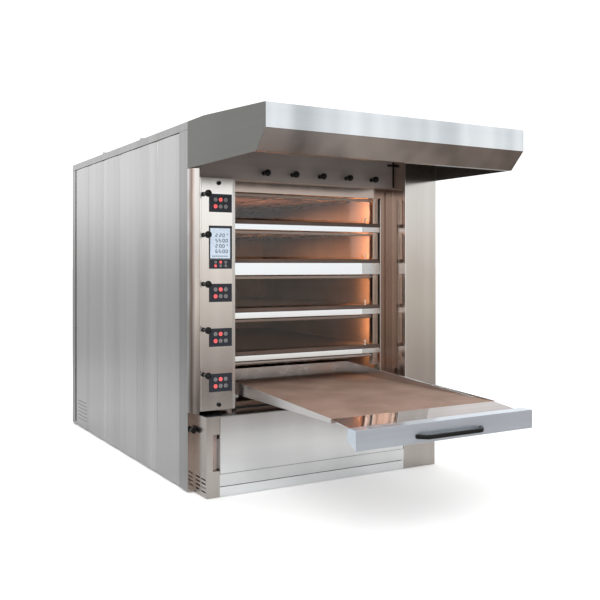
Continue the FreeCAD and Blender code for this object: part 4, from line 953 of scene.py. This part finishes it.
def columns():
    """The rounded pillar, the control housing and the wide right column."""
    low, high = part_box("corner_pillar")
    width, depth = high.x - low.x, high.y - low.y
    radius = (width ** 2 + depth ** 2) / (2 * width)
    sweep = math.asin(depth / radius)
    arc = []
    for k in range(25):
        turn = sweep * k / 24
        arc.append((low.x + radius * (1 - math.cos(turn)), high.y - radius * math.sin(turn)))
    outline = arc + [(high.x, high.y)]
    bm = bmesh.new()
    ends = [[bm.verts.new((x, y, z)) for x, y in outline] for z in (low.z, high.z)]
    count = len(outline)
    for k in range(count):
        bm.faces.new([ends[0][k], ends[0][(k + 1) % count], ends[1][(k + 1) % count], ends[1][k]])
    bm.faces.new(list(reversed(ends[0])))
    bm.faces.new(ends[1])
    piece("pillar_cover", bm, PILLAR_REFLECTION, "oven", "corner_pillar", smooth=40)

    low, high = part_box("control_panel")
    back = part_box("control_column")[1].y
    line = [(low.x + 0.5 * MM, back), (low.x + 0.5 * MM, low.y), (high.x, low.y), (high.x, back)]
    bm = bmesh.new()
    add_channel(bm, list(reversed(line)), -2 * MM, (low.z, high.z), 9 * MM)
    for z in (low.z, high.z - 2 * MM):
        add_block(bm, (low.x + 3 * MM, low.y + 3 * MM, z), (high.x - 3 * MM, back, z + 2 * MM), 0.5 * MM)
    piece("control_cover", bm, CONTROL_SHADED, "oven", ("control_panel", "control_column"),
          smooth=28)

    bm = bmesh.new()
    add_block(bm, (high.x - 21 * MM, low.y - 0.8 * MM, low.z + 3 * MM),
              (high.x - 2 * MM, low.y + 1.5 * MM, high.z - 3 * MM), 0.7 * MM)
    add_block(bm, (low.x + 11 * MM, low.y - 0.5 * MM, low.z + 3 * MM),
              (low.x + 14 * MM, low.y + 1.5 * MM, high.z - 3 * MM), 0.4 * MM)
    piece("control_edge_folds", bm, BRIGHT_Z, "oven")
    bm = bmesh.new()
    add_block(bm, (low.x - 1.6 * MM, low.y + 3 * MM, low.z), (low.x + 1.4 * MM, low.y + 9 * MM, high.z), 0.4 * MM)
    add_block(bm, (high.x - 1.2 * MM, low.y + 8 * MM, low.z), (high.x + 1.6 * MM, low.y + 60 * MM, high.z),
              0.4 * MM)
    piece("control_gap_seals", bm, RUBBER, "oven")

    low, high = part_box("right_column")
    line = [(high.x, high.y), (high.x, low.y), (low.x, low.y), (low.x, high.y)]
    bm = bmesh.new()
    add_channel(bm, line, -2 * MM, (low.z, high.z), 4 * MM)
    for z in (low.z, high.z - 2 * MM):
        add_block(bm, (low.x + 2.5 * MM, low.y + 2.5 * MM, z), (high.x - 2.5 * MM, high.y, z + 2 * MM),
                  0.5 * MM)
    piece("right_column_cover", bm, RIGHT_COLUMN, "oven", "right_column", smooth=28,
          second=(INNER, lambda face: face.normal.x < -0.9 and face.calc_center_median().x < low.x + MM))
    cheek = bmesh.new()
    cover_low, cover_high = low.y + 14 * MM, high.y - 62 * MM
    add_block(cheek, (low.x - 1.6 * MM, cover_low, low.z + 130 * MM), (low.x + MM, cover_high, 2030 * MM),
              1.4 * MM)
    add_block(cheek, (low.x - 3.5 * MM, cover_high + 9 * MM, low.z + 130 * MM),
              (low.x + MM, cover_high + 14 * MM, 2030 * MM), 1.2 * MM)
    piece("column_cheek_cover", cheek, INNER, "oven")
    edge = bmesh.new()
    for x0 in (low.x + 0.5 * MM, high.x - 5.5 * MM):
        add_block(edge, (x0, low.y - 0.7 * MM, low.z + 2 * MM), (x0 + 5 * MM, low.y + 1.5 * MM, high.z - 2 * MM),
                  0.6 * MM)
    piece("column_edge_folds", edge, STRIP, "oven")

    soften("front_frame", POLISHED, 1.0 * MM)
    soften("damper_panel", DAMPER_SHADED, 0.7 * MM)
    low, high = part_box("damper_panel")
    bm = bmesh.new()
    seal_low = Vector((high.x - 6 * MM, low.y - 1.5 * MM, low.z + 4 * MM))
    add_block(bm, seal_low, (high.x - MM, low.y + 2 * MM, high.z - 8 * MM), 0.6 * MM)
    add_block(bm, (high.x - 52 * MM, low.y - 5 * MM, low.z + 160 * MM),
              (high.x - 5 * MM, low.y + 2 * MM, low.z + 176 * MM), 2 * MM, 3)
    piece("damper_end_hinge", bm, BLACK, "oven")
    low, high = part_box("jamb_trim_rod")
    centre = ((low.x + high.x) / 2, (low.y + high.y) / 2, low.z)
    rod_radius = (high.x - low.x) / 2
    length = high.z - low.z
    bm = bmesh.new()
    add_lathe(bm, [(rod_radius * 0.6, 0), (rod_radius, 2 * MM), (rod_radius, length - 2 * MM),
                   (rod_radius * 0.6, length)], centre, (0, 0, 1), 24)
    piece("jamb_rod", bm, BRIGHT_Z, "oven", "jamb_trim_rod")


# ---------------------------------------------------------------- knobs

def ball_profile(radius):
    """A ball with a small flat on its crown and a short neck behind it."""
    points = [(0, -radius * 0.985), (radius * 0.17, -radius * 0.985)]
    for k in range(1, 15):
        turn = math.radians(10 + 150 * k / 14)
        points.append((radius * math.sin(turn), -radius * math.cos(turn)))
    return points + [(radius * 0.34, radius * 1.08), (radius * 0.34, radius * 1.2)]


def pull_knobs():
    """Black ball knobs on bright rods; each rides on its own pull."""
    for row, count in (("steam", 5), ("damper", 5)):
        for n in range(1, count + 1):
            node = f"{row}_knob_{n}"
            low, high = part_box(node)
            radius = (high.x - low.x) / 2
            centre = Vector(((low.x + high.x) / 2, low.y + radius, (low.z + high.z) / 2))
            bm = bmesh.new()
            add_lathe(bm, ball_profile(radius), centre, (0, 1, 0), 40)
            collar = 12 * MM
            add_lathe(bm, [(7 * MM, 27.5 * MM), (collar, 28 * MM), (collar + 1.5 * MM, 30 * MM),
                           (collar + 1.5 * MM, 36 * MM), (collar, 38 * MM), (7 * MM, 38.2 * MM)],
                      centre, (0, 1, 0), 36)
            piece(f"{node}_ball", bm, BLACK, node, node)
            bm = bmesh.new()
            add_lathe(bm, [(5.6 * MM, radius), (6 * MM, radius + MM), (6 * MM, high.y - centre.y - MM),
                           (5 * MM, high.y - centre.y)], centre, (0, 1, 0), 28)
            piece(f"{node}_rod", bm, SCREW, node)
    bm = bmesh.new()
    for low, high in solids("knob_bushes"):
        centre = ((low.x + high.x) / 2, low.y, (low.z + high.z) / 2)
        radius, length = (high.x - low.x) / 2, high.y - low.y
        add_ring(bm, [(6.1 * MM, 0), (radius - 4 * MM, 0), (radius - 2.5 * MM, 1.5 * MM),
                      (radius - 2.2 * MM, length * 0.6), (radius - 0.5 * MM, length * 0.65),
                      (radius, length * 0.8), (radius, length), (6.1 * MM, length)], centre, 36, "y")
    piece("rod_bushes", bm, BLACK, "oven", "knob_bushes")

    bm = bmesh.new()
    for low, high in solids("thumb_screws"):
        centre = ((low.x + high.x) / 2, high.y, (low.z + high.z) / 2)
        add_knurled(bm, centre, (high.x - low.x) / 2, high.y - low.y)
    piece("thumb_screw_heads", bm, BLACK, "oven", "thumb_screws")


def add_knurled(bm, centre, radius, height, flutes=16):
    """A knurled screw head that stands out towards the front."""
    steps = flutes * 4
    rings = []
    for along, share in ((0, 0.9), (height * 0.15, 1), (height * 0.8, 1), (height, 0.82), (height, 0.4),
                         (height * 0.9, 0.35)):
        ring = []
        for k in range(steps):
            turn = 2 * math.pi * k / steps
            ripple = 1 - 0.05 * (1 + math.cos(flutes * turn)) * (share > 0.7)
            ring.append(bm.verts.new((centre[0] + radius * share * ripple * math.cos(turn),
                                      centre[1] - along,
                                      centre[2] + radius * share * ripple * math.sin(turn))))
        rings.append(ring)
    for first, second in zip(rings, rings[1:]):
        for k in range(steps):
            bm.faces.new([first[k], first[(k + 1) % steps], second[(k + 1) % steps], second[k]])
    bm.faces.new(list(reversed(rings[0])))
    bm.faces.new(rings[-1])


# ---------------------------------------------------------------- keypads and display

KEY_PITCH = 0.28
KEY_ROW = 0.22
LIT = {(1, 0), (-1, -1)}


def keypads():
    """Membrane keypads: two rows of three ring keys, two of them lit."""
    plates = bmesh.new()
    rings = {True: bmesh.new(), False: bmesh.new()}
    boxes = [b for b in solids("keypads") if b[1].x - b[0].x > 100 * MM]
    for low, high in boxes:
        face = low.y + 1 * MM
        add_block(plates, (low.x, face, low.z), high, 1.2 * MM)
        height, width = high.z - low.z, high.x - low.x
        outer = 12.5 * MM if height > 80 * MM else 8.5 * MM
        spread_by = 1.0 if height > 80 * MM else 1.0
        for row in (-1, 1):
            for column in (-1, 0, 1):
                centre = ((low.x + high.x) / 2 + column * width * KEY_PITCH * 0.8, face,
                          (low.z + high.z) / 2 + row * height * KEY_ROW * spread_by * 0.85)
                lit = (row, column) in LIT
                add_key(rings[lit], centre, outer)
    piece("keypad_plates", plates, SLATE, "oven", "keypads")
    piece("keypad_keys_lit", rings[True], RED_GLOW, "oven")
    piece("keypad_keys_dark", rings[False], KEY_GREY, "oven")


def add_key(bm, centre, outer):
    rise = 0.9 * MM
    inner = outer * 0.58
    add_ring(bm, [(inner, 0.2 * MM), (inner, -rise * 0.6), (inner * 1.3, -rise), (outer * 0.85, -rise),
                  (outer, -rise * 0.5), (outer, 0.2 * MM)], centre, 32, "y")
    add_lathe(bm, [(inner * 0.55, 0.2 * MM), (inner * 0.55, -rise * 0.7), (inner * 0.3, -rise)],
              centre, (0, 1, 0), 20)


SEGMENTS = {
    "0": "abcdef", "1": "bc", "2": "abged", "3": "abgcd", "4": "fgbc", "5": "afgcd",
    "6": "afgedc", "7": "abc", "8": "abcdefg", "9": "abcfgd",
}


def add_digit(bm, digit, x, z, width, height, face):
    """A seven-segment figure as thin raised bars."""
    thick = width * 0.26
    half = height / 2
    bars = {
        "a": ((thick, height - thick), (width - thick, height)), "g": ((thick, half - thick / 2), (width - thick, half + thick / 2)),
        "d": ((thick, 0), (width - thick, thick)), "f": ((0, half), (thick, height - thick / 2)),
        "b": ((width - thick, half), (width, height - thick / 2)), "e": ((0, thick / 2), (thick, half)),
        "c": ((width - thick, thick / 2), (width, half)),
    }
    for bar in SEGMENTS[digit]:
        (x0, z0), (x1, z1) = bars[bar]
        add_block(bm, (x + x0, face - 0.25 * MM, z + z0), (x + x1, face + 0.2 * MM, z + z1), 0.08 * MM, 1)


def display():
    """A framed liquid crystal screen with four lines of figures."""
    low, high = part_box("display_window")
    face = low.y + 0.8 * MM
    margin = 7 * MM
    cap = 16 * MM
    bm = bmesh.new()
    add_block(bm, (low.x, face + 1.2 * MM, low.z), high, 0.8 * MM)
    frame_bars = [
        ((low.x, low.z), (high.x, low.z + margin * 0.6)), ((low.x, high.z - cap), (high.x, high.z)),
        ((low.x, low.z), (low.x + margin, high.z)), ((high.x - margin * 2, low.z), (high.x, high.z)),
    ]
    for (x0, z0), (x1, z1) in frame_bars:
        add_block(bm, (x0, low.y, z0), (x1, face + 2 * MM, z1), 0.6 * MM)
    piece("display_frame", bm, SLATE, "oven", "display_window")
    screen_low = Vector((low.x + margin * 0.8, face, low.z + margin * 0.5))
    screen_high = Vector((high.x - margin * 1.8, face + 1.6 * MM, high.z - cap * 0.9))
    bm = bmesh.new()
    add_block(bm, screen_low, screen_high, 0.3 * MM)
    piece("display_glass", bm, SCREEN, "oven")

    bm = bmesh.new()
    width, height = screen_high.x - screen_low.x, screen_high.z - screen_low.z
    for row, text in enumerate(("220", "5500", "200", "6500")):
        figure, tall = width * 0.115, height * 0.12
        z = screen_high.z - height * (0.30 + 0.175 * row)
        right = screen_low.x + width * (0.88 if len(text) == 4 else 0.72)
        for place, digit in enumerate(reversed(text)):
            x = right - figure * (place + 1) - place * figure * 0.35 - (figure * 0.3 if place > 1 else 0)
            add_digit(bm, digit, x, z, figure, tall, face)
        if len(text) == 4:
            x = right - figure * 2.75
            for rise in (0.25, 0.65):
                add_block(bm, (x, face - 0.25 * MM, z + tall * rise),
                          (x + figure * 0.2, face + 0.2 * MM, z + tall * (rise + 0.15)), 0.08 * MM, 1)
        else:
            add_ring(bm, [(figure * 0.18, 0.2 * MM), (figure * 0.18, -0.25 * MM), (figure * 0.32, -0.25 * MM),
                          (figure * 0.32, 0.2 * MM)], (screen_low.x + width * 0.85, face, z + tall * 0.8), 16, "y")
    for k in range(8):
        x = screen_low.x + width * (0.1 + 0.1 * k)
        z = screen_low.z + height * 0.06
        add_block(bm, (x, face - 0.25 * MM, z), (x + width * 0.06, face + 0.2 * MM, z + height * 0.035),
                  0.1 * MM, 1)
    piece("display_figures", bm, INK, "oven")


# ---------------------------------------------------------------- decks

def glass_doors():
    """Glass panes clamped in a hinge rail, each turning on its own pins."""
    for n in range(1, 6):
        node = f"door_{n}"
        joint = next(j for j in frame["joints"] if j["name"] == f"door_{n}_hinge")
        hinge = Vector(joint["pos_m"])
        low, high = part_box(node)
        ceiling = hinge.z + 16 * MM
        floor = pane_floor(n)
        pane = bmesh.new()
        rail = bmesh.new()
        left, right = low.x + 15 * MM, high.x - 14 * MM
        if n == 5:
            left = low.x + 29 * MM
        add_block(pane, (left + 4 * MM, hinge.y - 2.5 * MM, floor + 12 * MM),
                  (right - 4 * MM, hinge.y + 2.5 * MM, hinge.z - 9.5 * MM), 0.8 * MM)
        add_block(rail, (left, hinge.y - 8 * MM, hinge.z - 10 * MM), (right, hinge.y + 8 * MM, hinge.z + 10 * MM),
                  2 * MM, 3)
        for x0, x1 in ((low.x, left + 2 * MM), (right - 2 * MM, high.x)):
            add_lathe(rail, [(3.2 * MM, 0), (3.95 * MM, 0.8 * MM), (3.95 * MM, x1 - x0 - 0.8 * MM),
                             (3.2 * MM, x1 - x0)], (x0, hinge.y, hinge.z), (1, 0, 0), 24)
        for k in range(5):
            x = left + (right - left) * (k + 0.5) / 5
            add_screw(rail, (x, hinge.y - 7.9 * MM, hinge.z), (0, -1, 0), 3.2 * MM, 1.2 * MM)
        if n == 5:
            turn = Matrix.Translation(hinge) @ Matrix.Rotation(math.radians(78), 4, "X")
            turn = turn @ Matrix.Translation(-hinge)
            for bm in (pane, rail):
                bmesh.ops.transform(bm, matrix=turn, verts=bm.verts)
        piece(f"{node}_pane", pane, GLASS, node, node)
        piece(f"{node}_rail", rail, RAIL, node)
        assert ceiling > floor


STRIP_LEAN = 0.06
STRIP_END = 165 * MM


def pane_floor(n):
    """Height of a deck's hearth surface."""
    if n == 5:
        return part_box("drawer_hearth")[1].z
    tops = sorted((high.z for low, high in solids("fixed_hearths")), reverse=True)
    return tops[n - 1]


def decks():
    """Strips, hearths, stops, lamp bars and their lit lenses."""
    bm = clean_copy("deck_strips")
    for lump in islands(bm):
        low, high = extent(v.co for v in lump)
        for vert in lump:
            if vert.co.y < low.y + MM and vert.co.z > (low.z + high.z) / 2:
                vert.co.y += (high.z - low.z) * STRIP_LEAN
    round_edges(bm, 3 * MM, 3)
    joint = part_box("deck_strips")[1].x - STRIP_END
    bmesh.ops.bisect_plane(bm, geom=bm.verts[:] + bm.edges[:] + bm.faces[:], plane_co=(joint, 0, 0),
                           plane_no=(1, 0, 0))
    piece("deck_nosings", bm, STRIP, "oven", "deck_strips",
          second=(STRIP_DULL, lambda face: face.calc_center_median().x > joint))

    for number, (low, high) in enumerate(sorted(solids("fixed_hearths"), key=lambda b: -b[0].z), start=1):
        bm = bmesh.new()
        add_block(bm, low, high, 2.5 * MM, 2)
        piece(f"hearth_slab_{number}", bm, HEARTH_SHADED, "oven", "fixed_hearths")

    bm = bmesh.new()
    for low, high in solids("door_stops"):
        centre = ((low.x + high.x) / 2, (low.y + high.y) / 2, low.z)
        radius, height = (high.x - low.x) / 2, high.z - low.z
        add_lathe(bm, [(radius, 0), (radius, 3 * MM), (radius * 0.6, 5 * MM), (radius * 0.6, height * 0.5),
                       (radius, height * 0.56), (radius, height * 0.92), (radius * 0.7, height)],
                  centre, (0, 0, 1), 28)
    piece("door_stop_pins", bm, NYLON, "oven", "door_stops")

    soften("light_bars", LAMP_BAR, 1.5 * MM)
    bm = bmesh.new()
    for low, high in solids("deck_lamps"):
        add_block(bm, low, high, 1.5 * MM)
    piece("lamp_lenses", bm, LAMP, "oven", "deck_lamps")
    soften("chamber_liners", OVEN, 0.5 * MM)

    chamber_fittings()
    bm = bmesh.new()
    lintel = [b for b in solids("front_frame") if b[1].x - b[0].x > 1.0][0]
    low, high = lintel
    for k in range(5):
        x = low.x + (high.x - low.x) * (0.15 + 0.175 * k)
        add_lathe(bm, [(9 * MM, 0), (9 * MM, 3 * MM), (7.5 * MM, 5 * MM), (0, 5.4 * MM)],
                  (x, low.y + 9 * MM, low.z), (0, 0, -1), 6)
    piece("lintel_bolts", bm, NYLON, "oven")


FRONT_HEIGHT_5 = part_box("deck_strips")[0].z + 10 * MM


def chamber_fittings():
    """Ceiling bars along each chamber and the folded seams of its walls."""
    bars = bmesh.new()
    seams = bmesh.new()
    reach = 230 * MM
    for low, high in solids("chamber_liners"):
        floor = low.z if high.z > FRONT_HEIGHT_5 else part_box("drawer_hearth")[1].z + 90 * MM
        ceiling = high.z - 2 * MM
        for share in (0.12, 0.37, 0.63, 0.88):
            x = low.x + (high.x - low.x) * share
            add_lathe(bars, [(5 * MM, 0), (6 * MM, MM), (6 * MM, high.y - low.y - reach - 12 * MM),
                             (5 * MM, high.y - low.y - reach - 11 * MM)],
                      (x, low.y + reach, ceiling - 12 * MM), (0, 1, 0), 16)
        for k in range(1, 5):
            y = low.y + (high.y - low.y) * k / 5
            add_block(seams, (low.x + 1.5 * MM, y - 4 * MM, floor + 30 * MM),
                      (low.x + 5 * MM, y + 4 * MM, ceiling), 1.2 * MM)
            add_block(bars, (low.x + 6 * MM, y - 6 * MM, ceiling - 8 * MM),
                      (high.x - 6 * MM, y + 6 * MM, ceiling - 0.5 * MM), 1.5 * MM)
            x = low.x + (high.x - low.x) * k / 5
            add_block(seams, (x - 4 * MM, high.y - 5.5 * MM, floor + 30 * MM),
                      (x + 4 * MM, high.y - 1.5 * MM, ceiling), 1.2 * MM)
    piece("chamber_ceiling_bars", bars, RAIL, "oven")
    piece("chamber_wall_seams", seams, OVEN, "oven")


DECK_POWER = (5, 4, 1.6, 1.4, 0.4)
CEILING_POWER = (28, 18, 1.0, 0.7)


def deck_lights():
    """Warm light from each deck's lamp, thrown into the chamber."""
    for number, (low, high) in enumerate(sorted(solids("deck_lamps"), key=lambda b: -b[0].z), start=1):
        light = bpy.data.lights.new(f"deck_light_{number}", "POINT")
        light.energy = DECK_POWER[number - 1]
        light.color = (1.0, 0.50, 0.22)
        light.shadow_soft_size = 20 * MM
        lamp = bpy.data.objects.new(light.name, light)
        bpy.context.scene.collection.objects.link(lamp)
        lamp.location = (low.x - 40 * MM, high.y + 60 * MM, (low.z + high.z) / 2)
        lamp.visible_glossy = False
        lamp.visible_camera = False
        lamp.visible_transmission = False
    liners = sorted(solids("chamber_liners"), key=lambda b: -b[1].z)
    for number, (power, (low, high)) in enumerate(zip(CEILING_POWER, liners), start=1):
        light = bpy.data.lights.new(f"deck_bounce_{number}", "AREA")
        light.energy = power
        light.color = (1.0, 0.60, 0.36)
        light.size = 0.8
        lamp = bpy.data.objects.new(light.name, light)
        bpy.context.scene.collection.objects.link(lamp)
        lamp.location = (low.x * 0.62 + high.x * 0.38, low.y * 0.62 + high.y * 0.38, high.z - 8 * MM)
        lamp.visible_glossy = False
        lamp.visible_camera = False
        lamp.visible_transmission = False


# ---------------------------------------------------------------- base

def base():
    """Posts, ledge, rails, the burner bay's door and its turn lock."""
    soften("base_posts", POST, 1.2 * MM)
    bm = clean_copy("base_trim")
    round_edges(bm, 0.5 * MM)
    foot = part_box("base_trim")[0].z + 64 * MM
    piece("base_trim_folded", bm, BASE_SHADED, "oven", "base_trim",
          second=(KICK, lambda face: face.calc_center_median().z < foot))
    left_post, right_post = sorted(solids("base_posts"), key=lambda b: b[0].x)
    face = left_post[0].y
    # Painted shadow: a thin black strip along the plinth step stands for the shadow in the gap there.
    bm = bmesh.new()
    add_block(bm, (left_post[1].x, face - 0.5 * MM, foot - 3.5 * MM),
              (right_post[0].x, face + 4 * MM, foot + 1.5 * MM), 0.5 * MM)
    piece("plinth_painted_shadow_strip", bm, RUBBER, "oven")
    bm = bmesh.new()
    grip = next(hole for hole in frame["record"]["physics"]["openings"] if hole["name"] == "post_grip")
    grip_low, grip_high = (Vector(corner) for corner in grip["box_m"])
    add_block(bm, (grip_low.x - 0.7 * MM, grip_high.y, grip_low.z), (grip_high.x, grip_high.y + 0.7 * MM, grip_high.z),
              0.2 * MM)
    add_block(bm, (grip_low.x - 0.7 * MM, face + 3 * MM, grip_low.z), (grip_low.x, grip_high.y, grip_high.z), 0.2 * MM)
    piece("grip_lining", bm, LINING, "oven")
    soften("base_door", BASE_SHADED, 1.6 * MM, segments=3)
    soften("base_frame", FRAME_PAINT, 2.0 * MM)

    low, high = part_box("lock_knob")
    centre = Vector(((low.x + high.x) / 2, low.y, (low.z + high.z) / 2))
    radius = (high.x - low.x) / 2
    bm = bmesh.new()
    add_lathe(bm, [(radius * 0.8, 6 * MM), (radius * 0.95, 7.5 * MM), (radius, 12 * MM), (radius, 40 * MM),
                   (radius * 0.9, 43.5 * MM), (8 * MM, 44 * MM)], centre, (0, 1, 0), 40)
    add_block(bm, centre + Vector((-5 * MM, 0, -15 * MM)), centre + Vector((5 * MM, 8 * MM, 15 * MM)), 2 * MM, 3)
    piece("lock_grip", bm, BLACK, "lock_knob", "lock_knob")
    bm = bmesh.new()
    add_lathe(bm, [(6 * MM, 43 * MM), (6 * MM, high.y - low.y - MM), (5 * MM, high.y - low.y)],
              centre, (0, 1, 0), 24)
    piece("lock_spindle", bm, SCREW, "lock_knob")

    pads = bmesh.new()
    stems = bmesh.new()
    for low, high in solids("levelling_feet"):
        centre = Vector(((low.x + high.x) / 2, (low.y + high.y) / 2, low.z))
        radius = (high.x - low.x) / 2
        add_lathe(pads, [(radius * 0.94, 0), (radius, 1.5 * MM), (radius, 4 * MM), (radius * 0.9, 6 * MM),
                         (radius * 0.45, 9 * MM), (radius * 0.4, 10 * MM)], centre, (0, 0, 1), 40)
        add_lathe(stems, [(14 * MM, 9.5 * MM), (14 * MM, 15 * MM), (12.5 * MM, 16 * MM)], centre, (0, 0, 1), 6)
        add_lathe(stems, [(8 * MM, 15.5 * MM), (8 * MM, high.z - low.z)], centre, (0, 0, 1), 24)
    piece("foot_pads", pads, RUBBER, "oven", "levelling_feet")
    piece("foot_nuts", stems, SCREW, "oven")


# ---------------------------------------------------------------- pull-out hearth

def drawer():
    """The pull-out hearth with its ramp, folded front and bow handle."""
    low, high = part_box("drawer_hearth")
    bm = bmesh.new()
    add_block(bm, low, high, 2 * MM, 2)
    piece("drawer_slab", bm, STONE, "drawer", "drawer_hearth")
    soften("drawer_frame", TRAY, 0.7 * MM)
    soften("drawer_front", PANEL, 0.9 * MM)
    soften("drawer_ramp", RAMP, 0.7 * MM)

    low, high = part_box("drawer_handle")
    middle = (low.x + high.x) / 2
    half = (high.x - low.x) / 2
    size = high.z - low.z
    out = low.y + size * 0.5
    bar = half * 0.78
    z = (low.z + high.z) / 2
    line = [(-(half - 14 * MM), high.y), (-(half - 20 * MM), high.y - 14 * MM), (-bar, out), (bar, out),
            (half - 20 * MM, high.y - 14 * MM), (half - 14 * MM, high.y)]
    path = rounded_corners([Vector((middle + x, y, z)) for x, y in line], 28 * MM, 8)
    bm = bmesh.new()

    def section(t):
        swell = 1.0 + 0.12 * (2 * abs(t - 0.5)) ** 6
        points = []
        for k in range(20):
            turn = 2 * math.pi * k / 20
            a, b = math.cos(turn), math.sin(turn)
            points.append((size * 0.44 * math.copysign(abs(a) ** 0.7, a) * swell,
                           size * 0.44 * math.copysign(abs(b) ** 0.7, b) * swell))
        return points

    add_sweep(bm, path, section)
    for side in (-1, 1):
        foot = Vector((middle + side * (half - 14 * MM), high.y, z))
        add_lathe(bm, [(13.5 * MM, 0), (13.5 * MM, 2 * MM), (11 * MM, 4.5 * MM)], foot, (0, -1, 0), 28)
    piece("handle_bow", bm, BLACK, "drawer", "drawer_handle")


def rollers():
    """Grooved rollers with a bearing face, on stub shafts."""
    for node in ("front_rollers", "rear_rollers"):
        bm = bmesh.new()
        for low, high in solids(node):
            radius = (high.z - low.z) / 2
            y, z = (low.y + high.y) / 2, (low.z + high.z) / 2
            inner_side = low.x if low.x > 0 else high.x
            outwards = node == "front_rollers"
            on_right = low.x > 0
            wheel_low = low.x if outwards == on_right else low.x + 15 * MM
            if outwards and not on_right:
                wheel_low = high.x - 40 * MM
            if not outwards and not on_right:
                wheel_low = low.x
            profile = [(9 * MM, 0.6 * MM), (radius - 3 * MM, 0), (radius - 0.6 * MM, 0.8 * MM), (radius, 2 * MM),
                       (radius, 38 * MM), (radius - 0.6 * MM, 39.2 * MM), (radius - 3 * MM, 40 * MM),
                       (9 * MM, 39.4 * MM)]
            add_lathe(bm, profile, (wheel_low, y, z), (1, 0, 0), 48)
            add_lathe(bm, [(7.4 * MM, 0), (8 * MM, 0.8 * MM), (8 * MM, high.x - low.x - 0.8 * MM),
                           (7.4 * MM, high.x - low.x)], (low.x, y, z), (1, 0, 0), 28)
            assert inner_side is not None
        piece(f"{node}_turned", bm, ROLLER, node, node)
    soften("drawer_rails", GALVANISED, 1.0 * MM)


# ---------------------------------------------------------------- heating

def heating():
    """The parts behind the cladding, with worked edges."""
    for node, material in (("combustion_chamber", OVEN), ("burner", MOTOR), ("flue_duct", GALVANISED),
                           ("fan_motor", MOTOR), ("fan_wheel", GALVANISED), ("radiator_panels", OVEN),
                           ("steam_generators", GALVANISED)):
        soften(node, material, 1.5 * MM)
    soften("insulation", WOOL, 6 * MM)


cassettes()
side_trims()
roof()
hood()
collars()
columns()
pull_knobs()
keypads()
display()
glass_doors()
decks()
deck_lights()
base()
drawer()
rollers()
heating()

studio_world()
pale_floor()
studio_lights()
camera()
